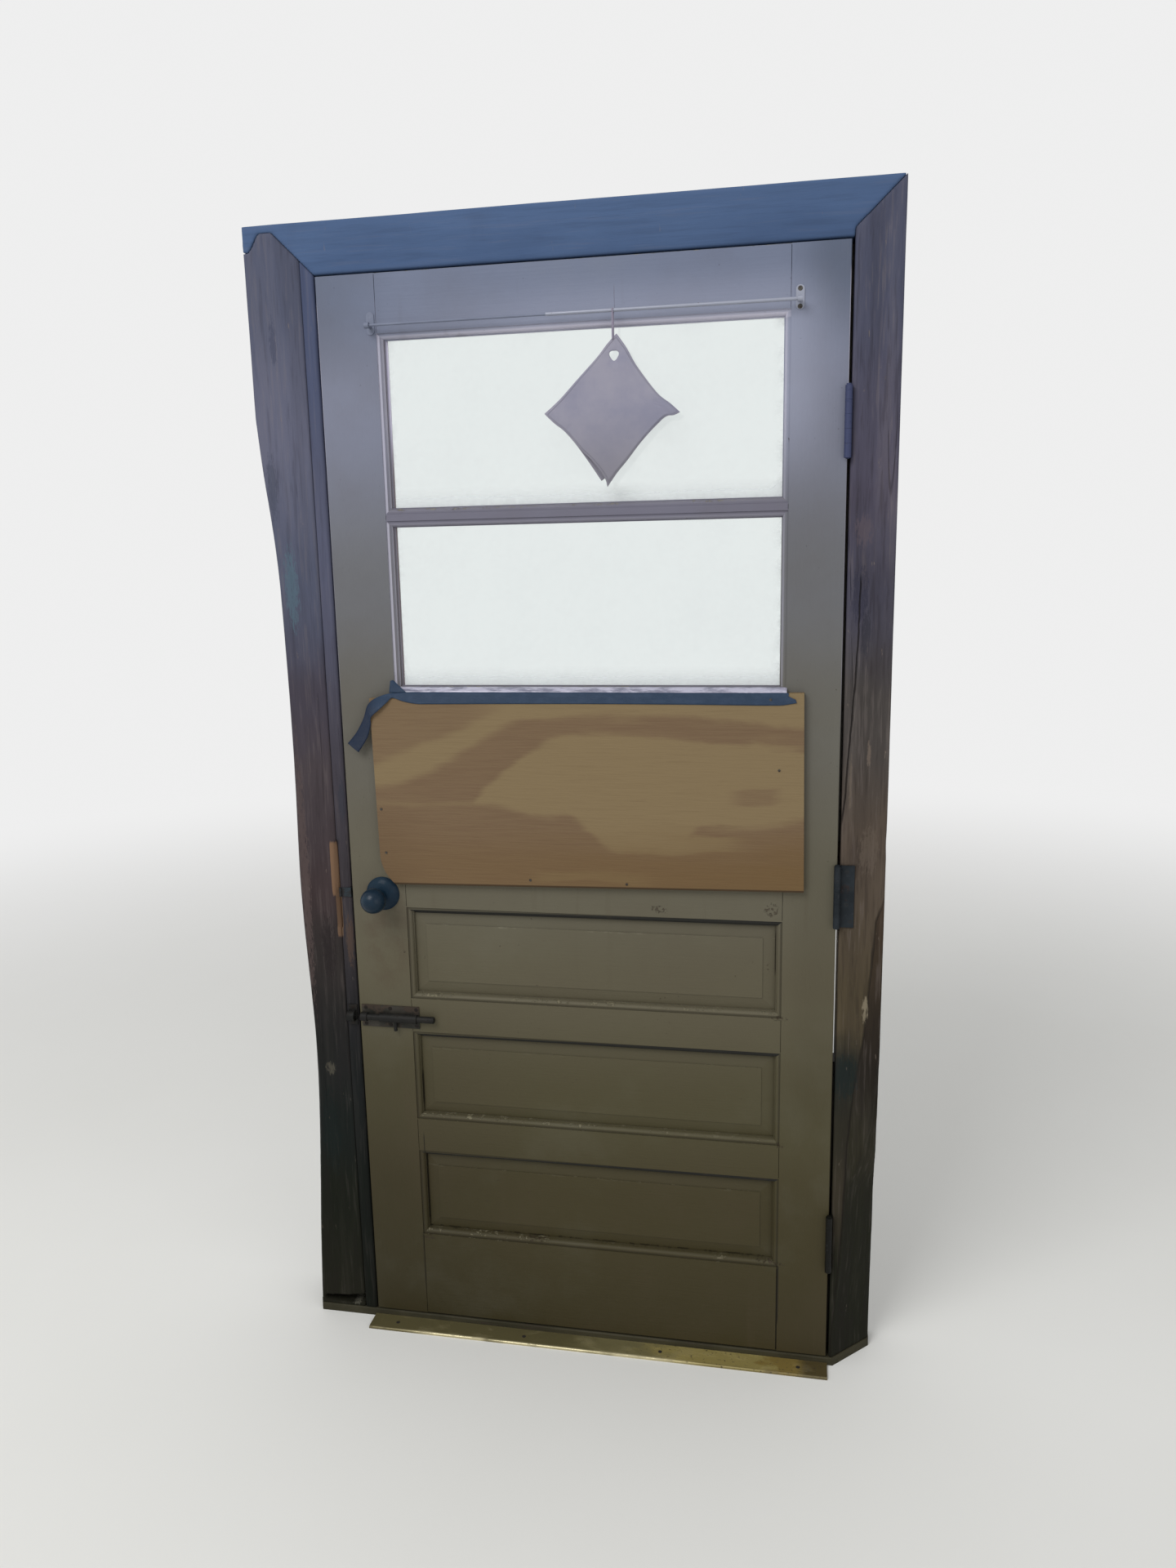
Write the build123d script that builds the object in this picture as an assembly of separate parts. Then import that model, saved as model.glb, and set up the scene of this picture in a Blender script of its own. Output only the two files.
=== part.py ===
from build123d import *
import os
from math import cos, radians, sin

os.makedirs("parts", exist_ok=True)

# An old part-glazed entry door hung in its heavy timber frame, seen from the room.
# Millimetres. X runs along the wall towards the hinges, Y into the wall, Z up.
# The origin is the middle of the sill board's underside.

# Frame
frame_depth = 116
left_post_width = 104
jamb_thickness = 25
right_post_width = 79
head_height = 89
sill_thickness = 16
latch_gap = 3
hinge_gap = 5
head_gap = 3
foot_gap = 4
right_shoulder = 14        # the right post's square shoulder below its mitre
tip_cut = 14               # the left post's mitred tip is cut off this far under the head's top
tip_width = 24
tip_fall = 31
tip_run = 20
post_arris = 2.5
split_width = 2.5
split_depth = 14
stop_thickness = 13
stop_depth = 38
stop_clearance = 2
stop_gap_low = 590         # a length of the right stop is missing between these heights
stop_gap_high = 868
strip_depth = 42
strip_thickness = 5
strip_left = 2             # the metal strip starts beside the jamb's face
strip_right = 2

# Leaf
leaf_width = 914
leaf_height = 2014
leaf_thickness = 44
lock_flat = 107.5
hinge_flat = 94
bottom_rail_height = 180
mid_rail_height = 68.5
lock_rail_height = 96.5
top_rail_height = 99
bar_flat = 12
panel_light = 185.5
joint_line = 1.0
open_joint = 2.5
joint_depth = 3

# Moulded edge of stiles and rails
bead_width = 11
bead_step = 2
bead_radius = 8
lip_depth = 15
leaf_arris = 1.2

# Raised panels
panel_play = 2
panel_edge_gap = 0.3
field_inset = 24
field_depth = 9
field_step = 1.5

# Glazing
glass_thickness = 3
glass_play = 1.5
putty_width = 9
putty_depth = 12

# Plywood sheet nailed over the lowest light, and the tape along its top
ply_thickness = 12
ply_left = 61              # from the leaf's two edges
ply_right = 62.5
ply_drop = 36.6            # how far it laps the lock rail
ply_tilt = 0.83            # it was nailed on askew, its left end low
ply_rise = 12
ply_clip = 27
ply_clip_height = 56
nail_shank = 0.9
nail_head = 2.3
nail_head_height = 0.9
nail_length = 24
tape_width = 21
tape_thickness = 0.5
tape_lap = 8
tape_left = 90            # from the sheet's left edge
tape_inset = 26.5          # from its right edge

# Knob set and latch
backset = 62.2
knob_rise = 26.2           # above the lock rail's lower edge
rosette_radius = 33
rosette_height = 12
rosette_face = 14
knob_radius = 24
knob_reach = 51
neck_radius = 11
neck_fit = 0.1
spindle_size = 7
spindle_grip = 20
cross_bore = 27
case_radius = 11.5
case_inner = 9.3
case_length = 80
case_fit = 0.1
face_width = 25
face_height = 57
face_thickness = 2.5
bolt_radius = 7
bolt_fit = 0.06
bolt_neck = 3
bolt_setback = 0.5         # the drawn-back bolt lies this far inside the stile's edge
cam_radius = 7.0
cam_swing = 35
cam_pin = 1.2
cam_slot_gap = 0.3
cheek_gap = 0.3
cheek_thickness = 2
yoke_thickness = 3
yoke_half = 8.2

# Strike
strike_thickness = 1.5
strike_half = 28
strike_front = 8
strike_depth = 28
strike_hole = 10
strike_lip = 9
strike_reach = 21
strike_curl = 2.5
scar_rise = 102.3          # the split's top, above the knob
scar_length = 178
scar_depth = 6

# Hinges
hinge_top_drop = 280       # from the leaf's top
hinge_middle_rise = 51.5   # above the lock rail's lower edge
hinge_bottom_rise = 243    # from the leaf's foot
hinge_length = 114
hinge_leaf = 2.5
knuckle_radius = 6
knuckles = 5
knuckle_gap = 0.3
pin_radius = 3
pin_fit = 0.05
pin_cap = 4.2
axis_out = 0.5             # the hinge axis lies beyond the stile's edge
axis_front = 6.8
hinge_leaf_depth = 32
surface_leaf = 25.5        # the middle hinge's frame leaf lies on the post's front face

# Slide bolt
bolt_plate_left = 5.5
bolt_plate_width = 117.5
bolt_plate_height = 44.5
bolt_plate_drop = 5        # below the upper mid rail's middle
bolt_plate_thickness = 2.5
bar_radius = 6.5
bar_fit = 0.08
bar_left = 14
bar_length = 142
bar_out = 9.1
bar_travel = 30
barrel_radius = 8.7
ring_left = 6
ring_width = 13
handle_x = 76
handle_radius = 3.5
handle_drop = 26
slot_gap = 0.3
keeper_left = 21
keeper_width = 14
keeper_plate = 18
keeper_height = 42
keeper_gap = 1.0
keeper_wall = 3

# Curtain rod
rod_rise = 10.5            # above the top rail's lower edge
rod_out = 18
tube_radius = 3
tube_left = 415            # from the leaf's left edge
tube_inset = 78            # from the leaf's right edge
inner_radius = 2.2
inner_left = 96
tube_overlap = 12
tube_fit = 0.1
bracket_width = 14
bracket_height = 38
bracket_thickness = 1.5
bracket_rise = 6
cup_radius = 5
cup_wall = 2
cup_grip = 6

# Pot holder hanging on the rod by its loop
holder_side = 168
holder_x = 536
holder_drop = 39.5
cloth_thickness = 3
cloth_back = 2.2
loop_width = 3.5
loop_strap = 0.8
loop_fit = 0.3

# Screws
screw_head = 4
screw_head_height = 2.4
screw_shank = 1.8
screw_length = 16

# Faces of the frame and the leaf, from left to right, front to back and foot to top
frame_width = (left_post_width + jamb_thickness + latch_gap + leaf_width
               + hinge_gap + right_post_width)
frame_left = -frame_width / 2
jamb_outer = frame_left + left_post_width
jamb_face = jamb_outer + jamb_thickness
leaf_left = jamb_face + latch_gap
leaf_right = leaf_left + leaf_width
post_face = leaf_right + hinge_gap
frame_right = post_face + right_post_width
front = -frame_depth / 2
back = front + frame_depth
leaf_back = front + leaf_thickness
leaf_foot = sill_thickness + foot_gap
leaf_top = leaf_foot + leaf_height
head_under = leaf_top + head_gap
frame_top = head_under + head_height
flat_left = leaf_left + lock_flat
flat_right = leaf_right - hinge_flat
stop_front = leaf_back + stop_clearance

# The leaf's members from the foot up, with the edge that each turns down and up. The three
# lights share what the rails, bars and panels leave.
glass_light = (leaf_height - bottom_rail_height - 2 * mid_rail_height - lock_rail_height
               - top_rail_height - 2 * bar_flat - 3 * panel_light) / 3
levels = [("bottom_rail", bottom_rail_height, None, "panel"), ("lower_panel", panel_light),
          ("lower_mid_rail", mid_rail_height, "panel", "panel"), ("middle_panel", panel_light),
          ("upper_mid_rail", mid_rail_height, "panel", "panel"), ("upper_panel", panel_light),
          ("lock_rail", lock_rail_height, "panel", "light"), ("hidden_light", glass_light),
          ("lower_muntin", bar_flat, "light", "light"), ("lower_light", glass_light),
          ("upper_muntin", bar_flat, "light", "light"), ("upper_light", glass_light),
          ("top_rail", top_rail_height, "light", None)]
places = {}
level = leaf_foot
for name, height, *kinds in levels:
    places[name] = (level, level + height)
    level += height


def block(x0, x1, y0, y1, z0, z1):
    """A square-cut piece between six faces."""
    return Pos((x0 + x1) / 2, (y0 + y1) / 2, (z0 + z1) / 2) * Box(x1 - x0, y1 - y0, z1 - z0)


def round_x(x0, x1, y, z, r):
    return Pos((x0 + x1) / 2, y, z) * Rot(0, 90, 0) * Cylinder(r, x1 - x0)


def round_y(x, y0, y1, z, r):
    return Pos(x, (y0 + y1) / 2, z) * Rot(90, 0, 0) * Cylinder(r, y1 - y0)


def round_z(x, y, z0, z1, r):
    return Pos(x, y, (z0 + z1) / 2) * Cylinder(r, z1 - z0)


def outline(*points):
    return make_face(Polyline(*points, close=True))


def elevation(shape, y0, y1):
    """An outline drawn on the wall plane as (x, z), cut from y0 back to y1."""
    return extrude(Pos(0, y0, 0) * (Plane.XZ * shape), amount=y0 - y1)


def plan(shape, z0, z1):
    """An outline drawn from above as (x, y), standing from z0 to z1."""
    return extrude(Pos(0, 0, z0) * shape, amount=z1 - z0)


def screw(x, y, z, into, length=screw_length):
    """A countersunk screw with its head's face at the point, driven along a direction."""
    body = Pos(0, 0, -screw_head_height / 2) * Cone(screw_shank, screw_head, screw_head_height)
    body += Pos(0, 0, -length / 2) * Cylinder(screw_shank, length)
    return Plane(origin=(x, y, z), z_dir=(-into[0], -into[1], -into[2])) * body


def save(shape, name):
    export_step(shape, f"parts/{name}.step")


FORWARD, DOWN, LEFT, RIGHT = (0, 1, 0), (0, 0, -1), (-1, 0, 0), (1, 0, 0)

# Hardware first, because the timber is cut to it.

# Latch, spindle and knobs. The latch is drawn back, with the knob held turned, so that
# the leaf is free to open. A pin on the spindle's cam runs in the slot of the bolt's
# yoke and shoots the bolt out as the knob comes back.
knob_x = leaf_left + backset
knob_z = places["lock_rail"][0] + knob_rise
latch_y = front + leaf_thickness / 2
throw = 2 * cam_radius * sin(radians(cam_swing))
pin_x = knob_x + cam_radius * sin(radians(cam_swing))
pin_z = knob_z + cam_radius * cos(radians(cam_swing))
spindle_half = spindle_size / 2 * 2 ** 0.5
window = spindle_half + 0.3
case_end = leaf_left + case_length
bolt_back = leaf_left + 20
guide = leaf_left + 42
window_left = knob_x - window
window_right = knob_x + window + throw

face_plate = block(leaf_left, leaf_left + face_thickness, latch_y - face_width / 2,
                   latch_y + face_width / 2, knob_z - face_height / 2, knob_z + face_height / 2)
latch_case = face_plate + round_x(leaf_left + face_thickness / 2, case_end, latch_y, knob_z, case_radius)
latch_case -= round_x(bolt_back + 4, case_end + 1, latch_y, knob_z, case_inner)
latch_case += round_x(guide, guide + 2, latch_y, knob_z, case_inner)
latch_case -= round_x(leaf_left - 1, bolt_back + 5, latch_y, knob_z, bolt_radius + bolt_fit)
latch_case -= round_x(bolt_back, guide + 3, latch_y, knob_z, bolt_neck + bolt_fit)
latch_case -= round_y(knob_x, front, leaf_back, knob_z, spindle_half + 0.4)

latch_bolt = round_x(leaf_left + bolt_setback, bolt_back, latch_y, knob_z, bolt_radius)
latch_bolt -= plan(outline((leaf_left, latch_y - 2), (leaf_left, latch_y + bolt_radius + 1),
                           (leaf_left + bolt_setback + 7, latch_y + bolt_radius + 1),
                           (leaf_left + bolt_setback, latch_y - 2)),
                   knob_z - bolt_radius - 1, knob_z + bolt_radius + 1)
latch_bolt += round_x(bolt_back, window_left - 3, latch_y, knob_z, bolt_neck)
yoke = block(window_left - 3.5, window_right + 2, latch_y - yoke_thickness / 2,
             latch_y + yoke_thickness / 2, knob_z - yoke_half, knob_z + yoke_half)
yoke -= block(window_left, window_right, latch_y - yoke_thickness, latch_y + yoke_thickness,
              knob_z - window, knob_z + window)
yoke -= block(pin_x - cam_pin - cam_slot_gap, pin_x + cam_pin + cam_slot_gap,
              latch_y - yoke_thickness, latch_y + yoke_thickness, knob_z, knob_z + yoke_half + 1)
latch_bolt += yoke

spindle = Pos(knob_x, latch_y, knob_z) * Box(spindle_size, leaf_thickness + 2 * spindle_grip, spindle_size)
cheek = yoke_thickness / 2 + cheek_gap
for y0 in (latch_y - cheek - cheek_thickness, latch_y + cheek):
    spindle += round_y(knob_x, y0, y0 + cheek_thickness, knob_z, spindle_half)
    spindle += round_y(pin_x, y0, y0 + cheek_thickness, pin_z, cam_pin)
    arm = outline((0, -cam_pin), (cam_radius, -cam_pin), (cam_radius, cam_pin), (0, cam_pin))
    arm = Pos(knob_x, knob_z) * Rot(0, 0, 90 - cam_swing) * arm
    spindle += elevation(arm, y0, y0 + cheek_thickness)
spindle += round_y(pin_x, latch_y - cheek, latch_y + cheek, pin_z, cam_pin)

ball_edge = knob_reach - (knob_radius ** 2 - neck_radius ** 2) ** 0.5
knob_profile = Polyline((0, knob_reach + knob_radius), (0, -1), (neck_radius, -1), (neck_radius, ball_edge))
knob_profile += ThreePointArc((neck_radius, ball_edge), (knob_radius, knob_reach), (0, knob_reach + knob_radius))
rosette_bore = neck_radius + neck_fit
rosette_profile = Polyline((rosette_face, rosette_height), (rosette_bore, rosette_height),
                           (rosette_bore, 0), (rosette_radius, 0), (rosette_radius, 1.5))
rosette_profile += ThreePointArc((rosette_radius, 1.5), (0.81 * rosette_radius, 0.64 * rosette_height),
                                 (rosette_face, rosette_height))


def turned(profile):
    """A turned piece standing out from the leaf's inner face around the spindle."""
    solid = revolve(make_face(profile.edges()), axis=Axis.Y)
    return Pos(knob_x, front, knob_z) * Rot(180, 0, 0) * solid


centre_plane = Plane(origin=(0, latch_y, 0), z_dir=(0, 1, 0))
inner_knob = turned(knob_profile) - spindle
outer_knob = mirror(turned(knob_profile), about=centre_plane) - spindle
inner_rosette = turned(rosette_profile)
outer_rosette = mirror(inner_rosette, about=centre_plane)

# Strike: a plate let into the jamb, with a lip bent round the jamb's front corner.
strike_x = jamb_face - strike_thickness
strike_plate = block(strike_x, jamb_face, front + strike_front, front + strike_front + strike_depth,
                     knob_z - strike_half, knob_z + strike_half)
strike_plate += block(strike_x, jamb_face, front, front + strike_front + 1,
                      knob_z - strike_lip, knob_z + strike_lip)
strike_plate += block(jamb_face - strike_reach, jamb_face, front - strike_thickness, front,
                      knob_z - strike_lip, knob_z + strike_lip)
curl = (Pos(jamb_face - strike_reach, front - strike_curl)
        * (Circle(strike_curl) - Circle(strike_curl - strike_thickness)))
strike_plate += plan(curl, knob_z - strike_lip, knob_z + strike_lip)
latch_pocket = block(strike_x - 11, jamb_face + 1, latch_y - bolt_radius - 2, latch_y + bolt_radius + 2,
                     knob_z - strike_hole, knob_z + strike_hole)
strike_plate -= latch_pocket

# Hinges: two butt hinges with both leaves in the gap, and a middle one whose frame leaf
# is bent over onto the post's front face.
axis_x = leaf_right + axis_out
axis_y = front - axis_front
knuckle = (hinge_length - (knuckles - 1) * knuckle_gap) / knuckles
hinge_heights = {"top": leaf_top - hinge_top_drop, "middle": places["lock_rail"][0] + hinge_middle_rise,
                 "bottom": leaf_foot + hinge_bottom_rise}
hinges = {}
for name, height in hinge_heights.items():
    z0 = height - hinge_length / 2
    plate_back = front + hinge_leaf_depth
    door_leaf = block(leaf_right - hinge_leaf, leaf_right, front + 0.2, plate_back, z0, z0 + hinge_length)
    tangent = axis_x + knuckle_radius
    if name == "middle":
        bend = axis_y + knuckle_radius
        frame_leaf = plan(outline((post_face + 1, front), (post_face + 3, front),
                                  (post_face + surface_leaf, front),
                                  (post_face + surface_leaf, front + hinge_leaf),
                                  (post_face + 1, front + hinge_leaf)), z0, z0 + hinge_length)
        strap = outline((axis_x, bend - hinge_leaf), (post_face + 0.5, bend - hinge_leaf),
                        (post_face + 3, front), (post_face + 3, front + hinge_leaf),
                        (post_face + 1, front + hinge_leaf), (post_face - 1.5, bend), (axis_x, bend))
    else:
        frame_leaf = block(tangent - hinge_leaf, tangent, front + 0.2, plate_back, z0, z0 + hinge_length)
        strap = outline((tangent - hinge_leaf, axis_y), (tangent, axis_y),
                        (tangent, front + 1), (tangent - hinge_leaf, front + 1))
    door_strap = outline((leaf_right - hinge_leaf, axis_y), (leaf_right, axis_y),
                         (leaf_right, front + 1), (leaf_right - hinge_leaf, front + 1))
    for k in range(knuckles):
        foot = z0 + k * (knuckle + knuckle_gap)
        tube = round_z(axis_x, axis_y, foot, foot + knuckle, knuckle_radius)
        if k % 2:
            door_leaf += tube + plan(door_strap, foot, foot + knuckle)
        else:
            frame_leaf += tube + plan(strap, foot, foot + knuckle)
    bore = round_z(axis_x, axis_y, z0 - 1, z0 + hinge_length + 1, pin_radius + pin_fit)
    pin = round_z(axis_x, axis_y, z0 - 1.5, z0 + hinge_length, pin_radius)
    pin += round_z(axis_x, axis_y, z0 + hinge_length, z0 + hinge_length + 2.5, pin_cap)
    hinges[name] = [frame_leaf - bore, door_leaf - bore, pin, z0]

# Slide bolt on the lock stile and the upper mid rail, drawn back to the right.
bar_z = sum(places["upper_mid_rail"]) / 2 - bolt_plate_drop
bar_y = front - bar_out
barrel_left = handle_x - bar_travel
slide_plate = block(leaf_left + bolt_plate_left, leaf_left + bolt_plate_left + bolt_plate_width,
                    front - bolt_plate_thickness, front,
                    bar_z - bolt_plate_height / 2, bar_z + bolt_plate_height / 2)
barrel_right = leaf_left + bolt_plate_left + bolt_plate_width - 2
for x0, x1 in ((leaf_left + barrel_left, barrel_right), (leaf_left + ring_left, leaf_left + ring_left + ring_width)):
    slide_plate += round_x(x0, x1, bar_y, bar_z, barrel_radius)
slide_plate -= round_x(leaf_left, barrel_right + 1, bar_y, bar_z, bar_radius + bar_fit)
slot_half = handle_radius + slot_gap
slide_plate -= block(leaf_left + barrel_left - 1, leaf_left + handle_x + slot_half,
                     bar_y - slot_half, bar_y + slot_half, bar_z - barrel_radius - 1, bar_z)
slide_bar = round_x(leaf_left + bar_left, leaf_left + bar_left + bar_length, bar_y, bar_z, bar_radius)
slide_bar = chamfer(slide_bar.edges().filter_by(GeomType.CIRCLE), 1)
slide_bar += round_z(leaf_left + handle_x, bar_y, bar_z - handle_drop, bar_z, handle_radius)

keeper_x = leaf_left - keeper_left
keeper_inner = bar_radius + keeper_gap
keeper_outer = keeper_inner + keeper_wall
bolt_keeper = block(keeper_x - 2, keeper_x - 2 + keeper_plate, front - bolt_plate_thickness, front,
                    bar_z - keeper_height / 2, bar_z + keeper_height / 2)
bolt_keeper += round_x(keeper_x, keeper_x + keeper_width, bar_y, bar_z, keeper_outer)
bolt_keeper += block(keeper_x, keeper_x + keeper_width, bar_y, front - 1, bar_z - keeper_outer, bar_z + keeper_outer)
bolt_keeper -= round_x(keeper_x - 1, keeper_x + keeper_width + 1, bar_y, bar_z, keeper_inner)
bolt_keeper -= block(keeper_x - 1, keeper_x + keeper_width + 1, bar_y, front - bolt_plate_thickness,
                     bar_z - keeper_inner, bar_z + keeper_inner)
bolt_keeper -= block(keeper_x - 3, keeper_x + keeper_plate, front, front + keeper_outer,
                     bar_z - keeper_height, bar_z + keeper_height)

# Curtain rod: an inner rod telescoped into a tube, each end in a bracket's cup.
rod_level = places["top_rail"][0] + rod_rise
rod_y = front - rod_out
tube_mouth = leaf_left + tube_left
inner_end = tube_mouth + tube_overlap
rod_tube = round_x(tube_mouth, leaf_right - tube_inset, rod_y, rod_level, tube_radius)
rod_tube -= round_x(tube_mouth - 1, inner_end + 6, rod_y, rod_level, inner_radius + tube_fit)
rod_inner = round_x(leaf_left + inner_left, inner_end, rod_y, rod_level, inner_radius)
bracket_ends = {"left": (leaf_left + inner_left, 1), "right": (leaf_right - tube_inset, -1)}
brackets = {}
for (name, (end, side)), held in zip(bracket_ends.items(), (rod_inner, rod_tube)):
    x0, x1 = sorted((end - side * cup_wall, end + side * cup_grip))
    middle = (x0 + x1) / 2
    oval = SlotCenterToCenter(bracket_height - bracket_width, bracket_width)
    foot = Pos(middle, rod_level + bracket_rise) * Rot(0, 0, 90) * oval
    bracket = elevation(foot, front - bracket_thickness, front)
    bracket += round_y(middle, rod_y, front - 0.5, rod_level, 3)
    bracket += round_x(x0, x1, rod_y, rod_level, cup_radius)
    brackets[name] = bracket - held

# Screws, each driven where its plate lies. The wood and the plates are cut to them.
frame_screws = []
leaf_screws = []
for name, (frame_leaf, door_leaf, pin, z0) in hinges.items():
    for k, share in enumerate((0.1, 0.37, 0.63, 0.9)):
        z = z0 + share * hinge_length
        y = front + (12 if k % 2 else 24)
        leaf_screws.append(screw(leaf_right, y, z, LEFT))
        if name == "middle":
            frame_screws.append(screw(post_face + (12 if k % 2 else 20), front, z, FORWARD))
        else:
            frame_screws.append(screw(axis_x + knuckle_radius - hinge_leaf, y, z, RIGHT))
for z in (knob_z - strike_half + 8, knob_z + strike_half - 8):
    frame_screws.append(screw(jamb_face, latch_y, z, LEFT))
for z in (knob_z - face_height / 2 + 7, knob_z + face_height / 2 - 7):
    leaf_screws.append(screw(leaf_left, latch_y, z, RIGHT))
for z in (bar_z - keeper_height / 2 + 5.5, bar_z + keeper_height / 2 - 5.5):
    frame_screws.append(screw(keeper_x + keeper_width / 2, front - bolt_plate_thickness, z, FORWARD))
plate_mid = leaf_left + bolt_plate_left + bolt_plate_width / 2
for x in (plate_mid - bolt_plate_width / 2 + 8, plate_mid, plate_mid + bolt_plate_width / 2 - 5.5):
    for side in (-1, 1):
        z = bar_z + side * (bolt_plate_height / 2 - 5.7)
        leaf_screws.append(screw(x, front - bolt_plate_thickness, z, FORWARD))
for end, side in bracket_ends.values():
    x = end + side * (cup_grip - cup_wall) / 2
    for z in (rod_level + bracket_rise + 13, rod_level + bracket_rise - 14.5):
        leaf_screws.append(screw(x, front - bracket_thickness, z, FORWARD))
strip_x0 = jamb_face - strip_left
strip_x1 = post_face - strip_right
strip_y = front - strip_depth / 2
for share in (0.06, 0.35, 0.65, 0.94):
    frame_screws.append(screw(strip_x0 + share * (strip_x1 - strip_x0), strip_y, strip_thickness, DOWN,
                              strip_thickness - 0.2))

# Frame timbers
tip_top = frame_top - tip_cut
tip_right = jamb_face - (tip_top - head_under)
head_beam = elevation(outline((jamb_face, head_under), (post_face, head_under),
                              (post_face, head_under + right_shoulder), (frame_right, frame_top),
                              (frame_left, frame_top), (frame_left, tip_top - tip_fall),
                              (tip_right - tip_width - tip_run, tip_top - tip_fall),
                              (tip_right - tip_width, tip_top), (tip_right, tip_top)), front, back)
sill = block(frame_left, frame_right, front, back, 0, sill_thickness)
sill = fillet(sill.edges().filter_by(Axis.X).group_by(Axis.Z)[-1].sort_by(Axis.Y)[0], 3)


def post(x0, x1):
    timber = block(x0, x1, front, back, sill_thickness, frame_top)
    timber = fillet(timber.edges().filter_by(Axis.Z).group_by(Axis.Y)[0], post_arris)
    return timber - head_beam


def wane(line, outside, lean):
    """The waste off a post's outer front edge. It runs out towards the back."""
    edge = Spline(*line)
    (x0, z0), (x1, z1) = line[0], line[-1]
    face = make_face((edge + Polyline((x1, z1), (outside, z1), (outside, z0), (x0, z0))).edges())
    return extrude(Pos(0, front - 1, 0) * (Plane.XZ * face), amount=0.95 * frame_depth, dir=(lean, 1, 0))


# The left post keeps the log's waney edge below a square top. A split has left a pale
# scar beside the strike, and rot has opened a slot across the foot. The worn lines are
# drawn as shares of the leaf's height and of the post's width.
wane_left = ((0.953, -0.05), (0.889, 0.01), (0.834, 0.1), (0.775, 0.22), (0.695, 0.279), (0.533, 0.279),
             (0.438, 0.25), (0.269, 0.346), (0.088, 0.173), (-0.012, 0.077))
left_waste = wane([(frame_left + inset * left_post_width, leaf_foot + z * leaf_height)
                   for z, inset in wane_left], frame_left - 0.8 * left_post_width, -0.5)
left_post = post(frame_left, jamb_outer) - left_waste
left_jamb = post(jamb_outer, jamb_face)
scar_top = knob_z + scar_rise
scar_foot = scar_top - scar_length
scar = outline((jamb_outer - 7, scar_top), (jamb_outer + 8, scar_top),
               (jamb_outer + 5, scar_foot), (jamb_outer - 9, scar_foot))
scar = extrude(Pos(0, front, 0) * (Plane.XZ * scar), amount=-scar_depth, taper=25)
rot = elevation(outline((jamb_outer - 90, sill_thickness + 19), (jamb_outer - 49, sill_thickness + 21),
                        (jamb_outer + 1, sill_thickness + 29), (jamb_outer + 1, sill_thickness + 13),
                        (jamb_outer - 32, sill_thickness + 5), (jamb_outer - 90, sill_thickness + 8)),
                front - 1, front + 30)
left_post -= [scar, rot]
left_jamb -= [scar, strike_plate, latch_pocket] + frame_screws

# The right post is eroded towards the foot and split along the grain above the middle hinge.
worn_right = ((0.348, -0.05), (0.323, 0.013), (0.278, 0.165), (0.199, 0.456), (0.171, 0.684), (0.137, 0.734),
              (0.106, 0.772), (0.07, 0.873), (-0.012, 0.899))
right_waste = wane([(frame_right - inset * right_post_width, leaf_foot + z * leaf_height)
                    for z, inset in worn_right], frame_right + right_post_width, 1)
right_post = post(post_face, frame_right) - right_waste
sill -= [left_waste, right_waste]
split = [(post_face + x * right_post_width, leaf_foot + z * leaf_height)
         for z, x in ((0.724, 0.278), (0.701, 0.266), (0.652, 0.215), (0.596, 0.127), (0.55, 0.076), (0.524, 0.013))]
right_post -= elevation(outline(*split, *[(x + split_width, z) for x, z in split[:0:-1]]),
                        front - 1, front + split_depth)
recess = hinges["middle"][3]
right_post -= block(post_face - 1, post_face + surface_leaf + 1, front - 3, front + hinge_leaf,
                    recess - 6, recess + hinge_length + 3)
right_post -= block(post_face, post_face + surface_leaf + 10, front - 3, front + hinge_leaf,
                    recess + hinge_length - 28, recess + hinge_length + 3)
right_post -= [hinges[name][0] for name in hinges] + frame_screws

threshold_strip = block(strip_x0, strip_x1, front - strip_depth, front, 0, strip_thickness)
nose = threshold_strip.edges().filter_by(Axis.X).group_by(Axis.Z)[-1].sort_by(Axis.Y)[0]
threshold_strip = fillet(nose, 3.5) - frame_screws

stop_back = stop_front + stop_depth
stop_under = head_under - stop_thickness
head_stop = block(jamb_face, post_face, stop_front, stop_back, stop_under, head_under)
left_stop = block(jamb_face, jamb_face + stop_thickness, stop_front, stop_back, sill_thickness, stop_under)
right_stop = [block(post_face - stop_thickness, post_face, stop_front, stop_back, z0, z1)
              for z0, z1 in ((sill_thickness, leaf_foot + stop_gap_low), (leaf_foot + stop_gap_high, stop_under))]

# Leaf members: flats with a moulded edge towards each opening
quirk = (bead_width - bead_radius) / 2
bead_foot = bead_step + bead_radius
bevel = 0.5 ** 0.5 * bead_radius


def moulding(kind):
    """The edge beyond the flat, as (outwards, into the leaf). A light has a rebate behind it."""
    line = Polyline((quirk + bead_radius, bead_foot), (bead_width, bead_foot), (bead_width, lip_depth),
                    (-1, lip_depth), (-1, bead_step), (quirk, bead_step))
    line += ThreePointArc((quirk, bead_step), (quirk + bevel, bead_foot - bevel),
                          (quirk + bead_radius, bead_foot))
    face = make_face(line.edges())
    return face + Pos(0, leaf_thickness) * mirror(face, about=Plane.XZ) if kind == "panel" else face


def member(width, below=None, above=None):
    shape = Pos(width / 2, leaf_thickness / 2) * Rectangle(width, leaf_thickness)
    if above:
        shape += Pos(width, 0) * moulding(above)
    if below:
        shape += mirror(moulding(below), about=Plane.YZ)
    for kind, end in ((below, 0), (above, -1)):
        if not kind:
            shape = chamfer(shape.vertices().group_by(Axis.X)[end], leaf_arris)
    return shape


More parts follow.
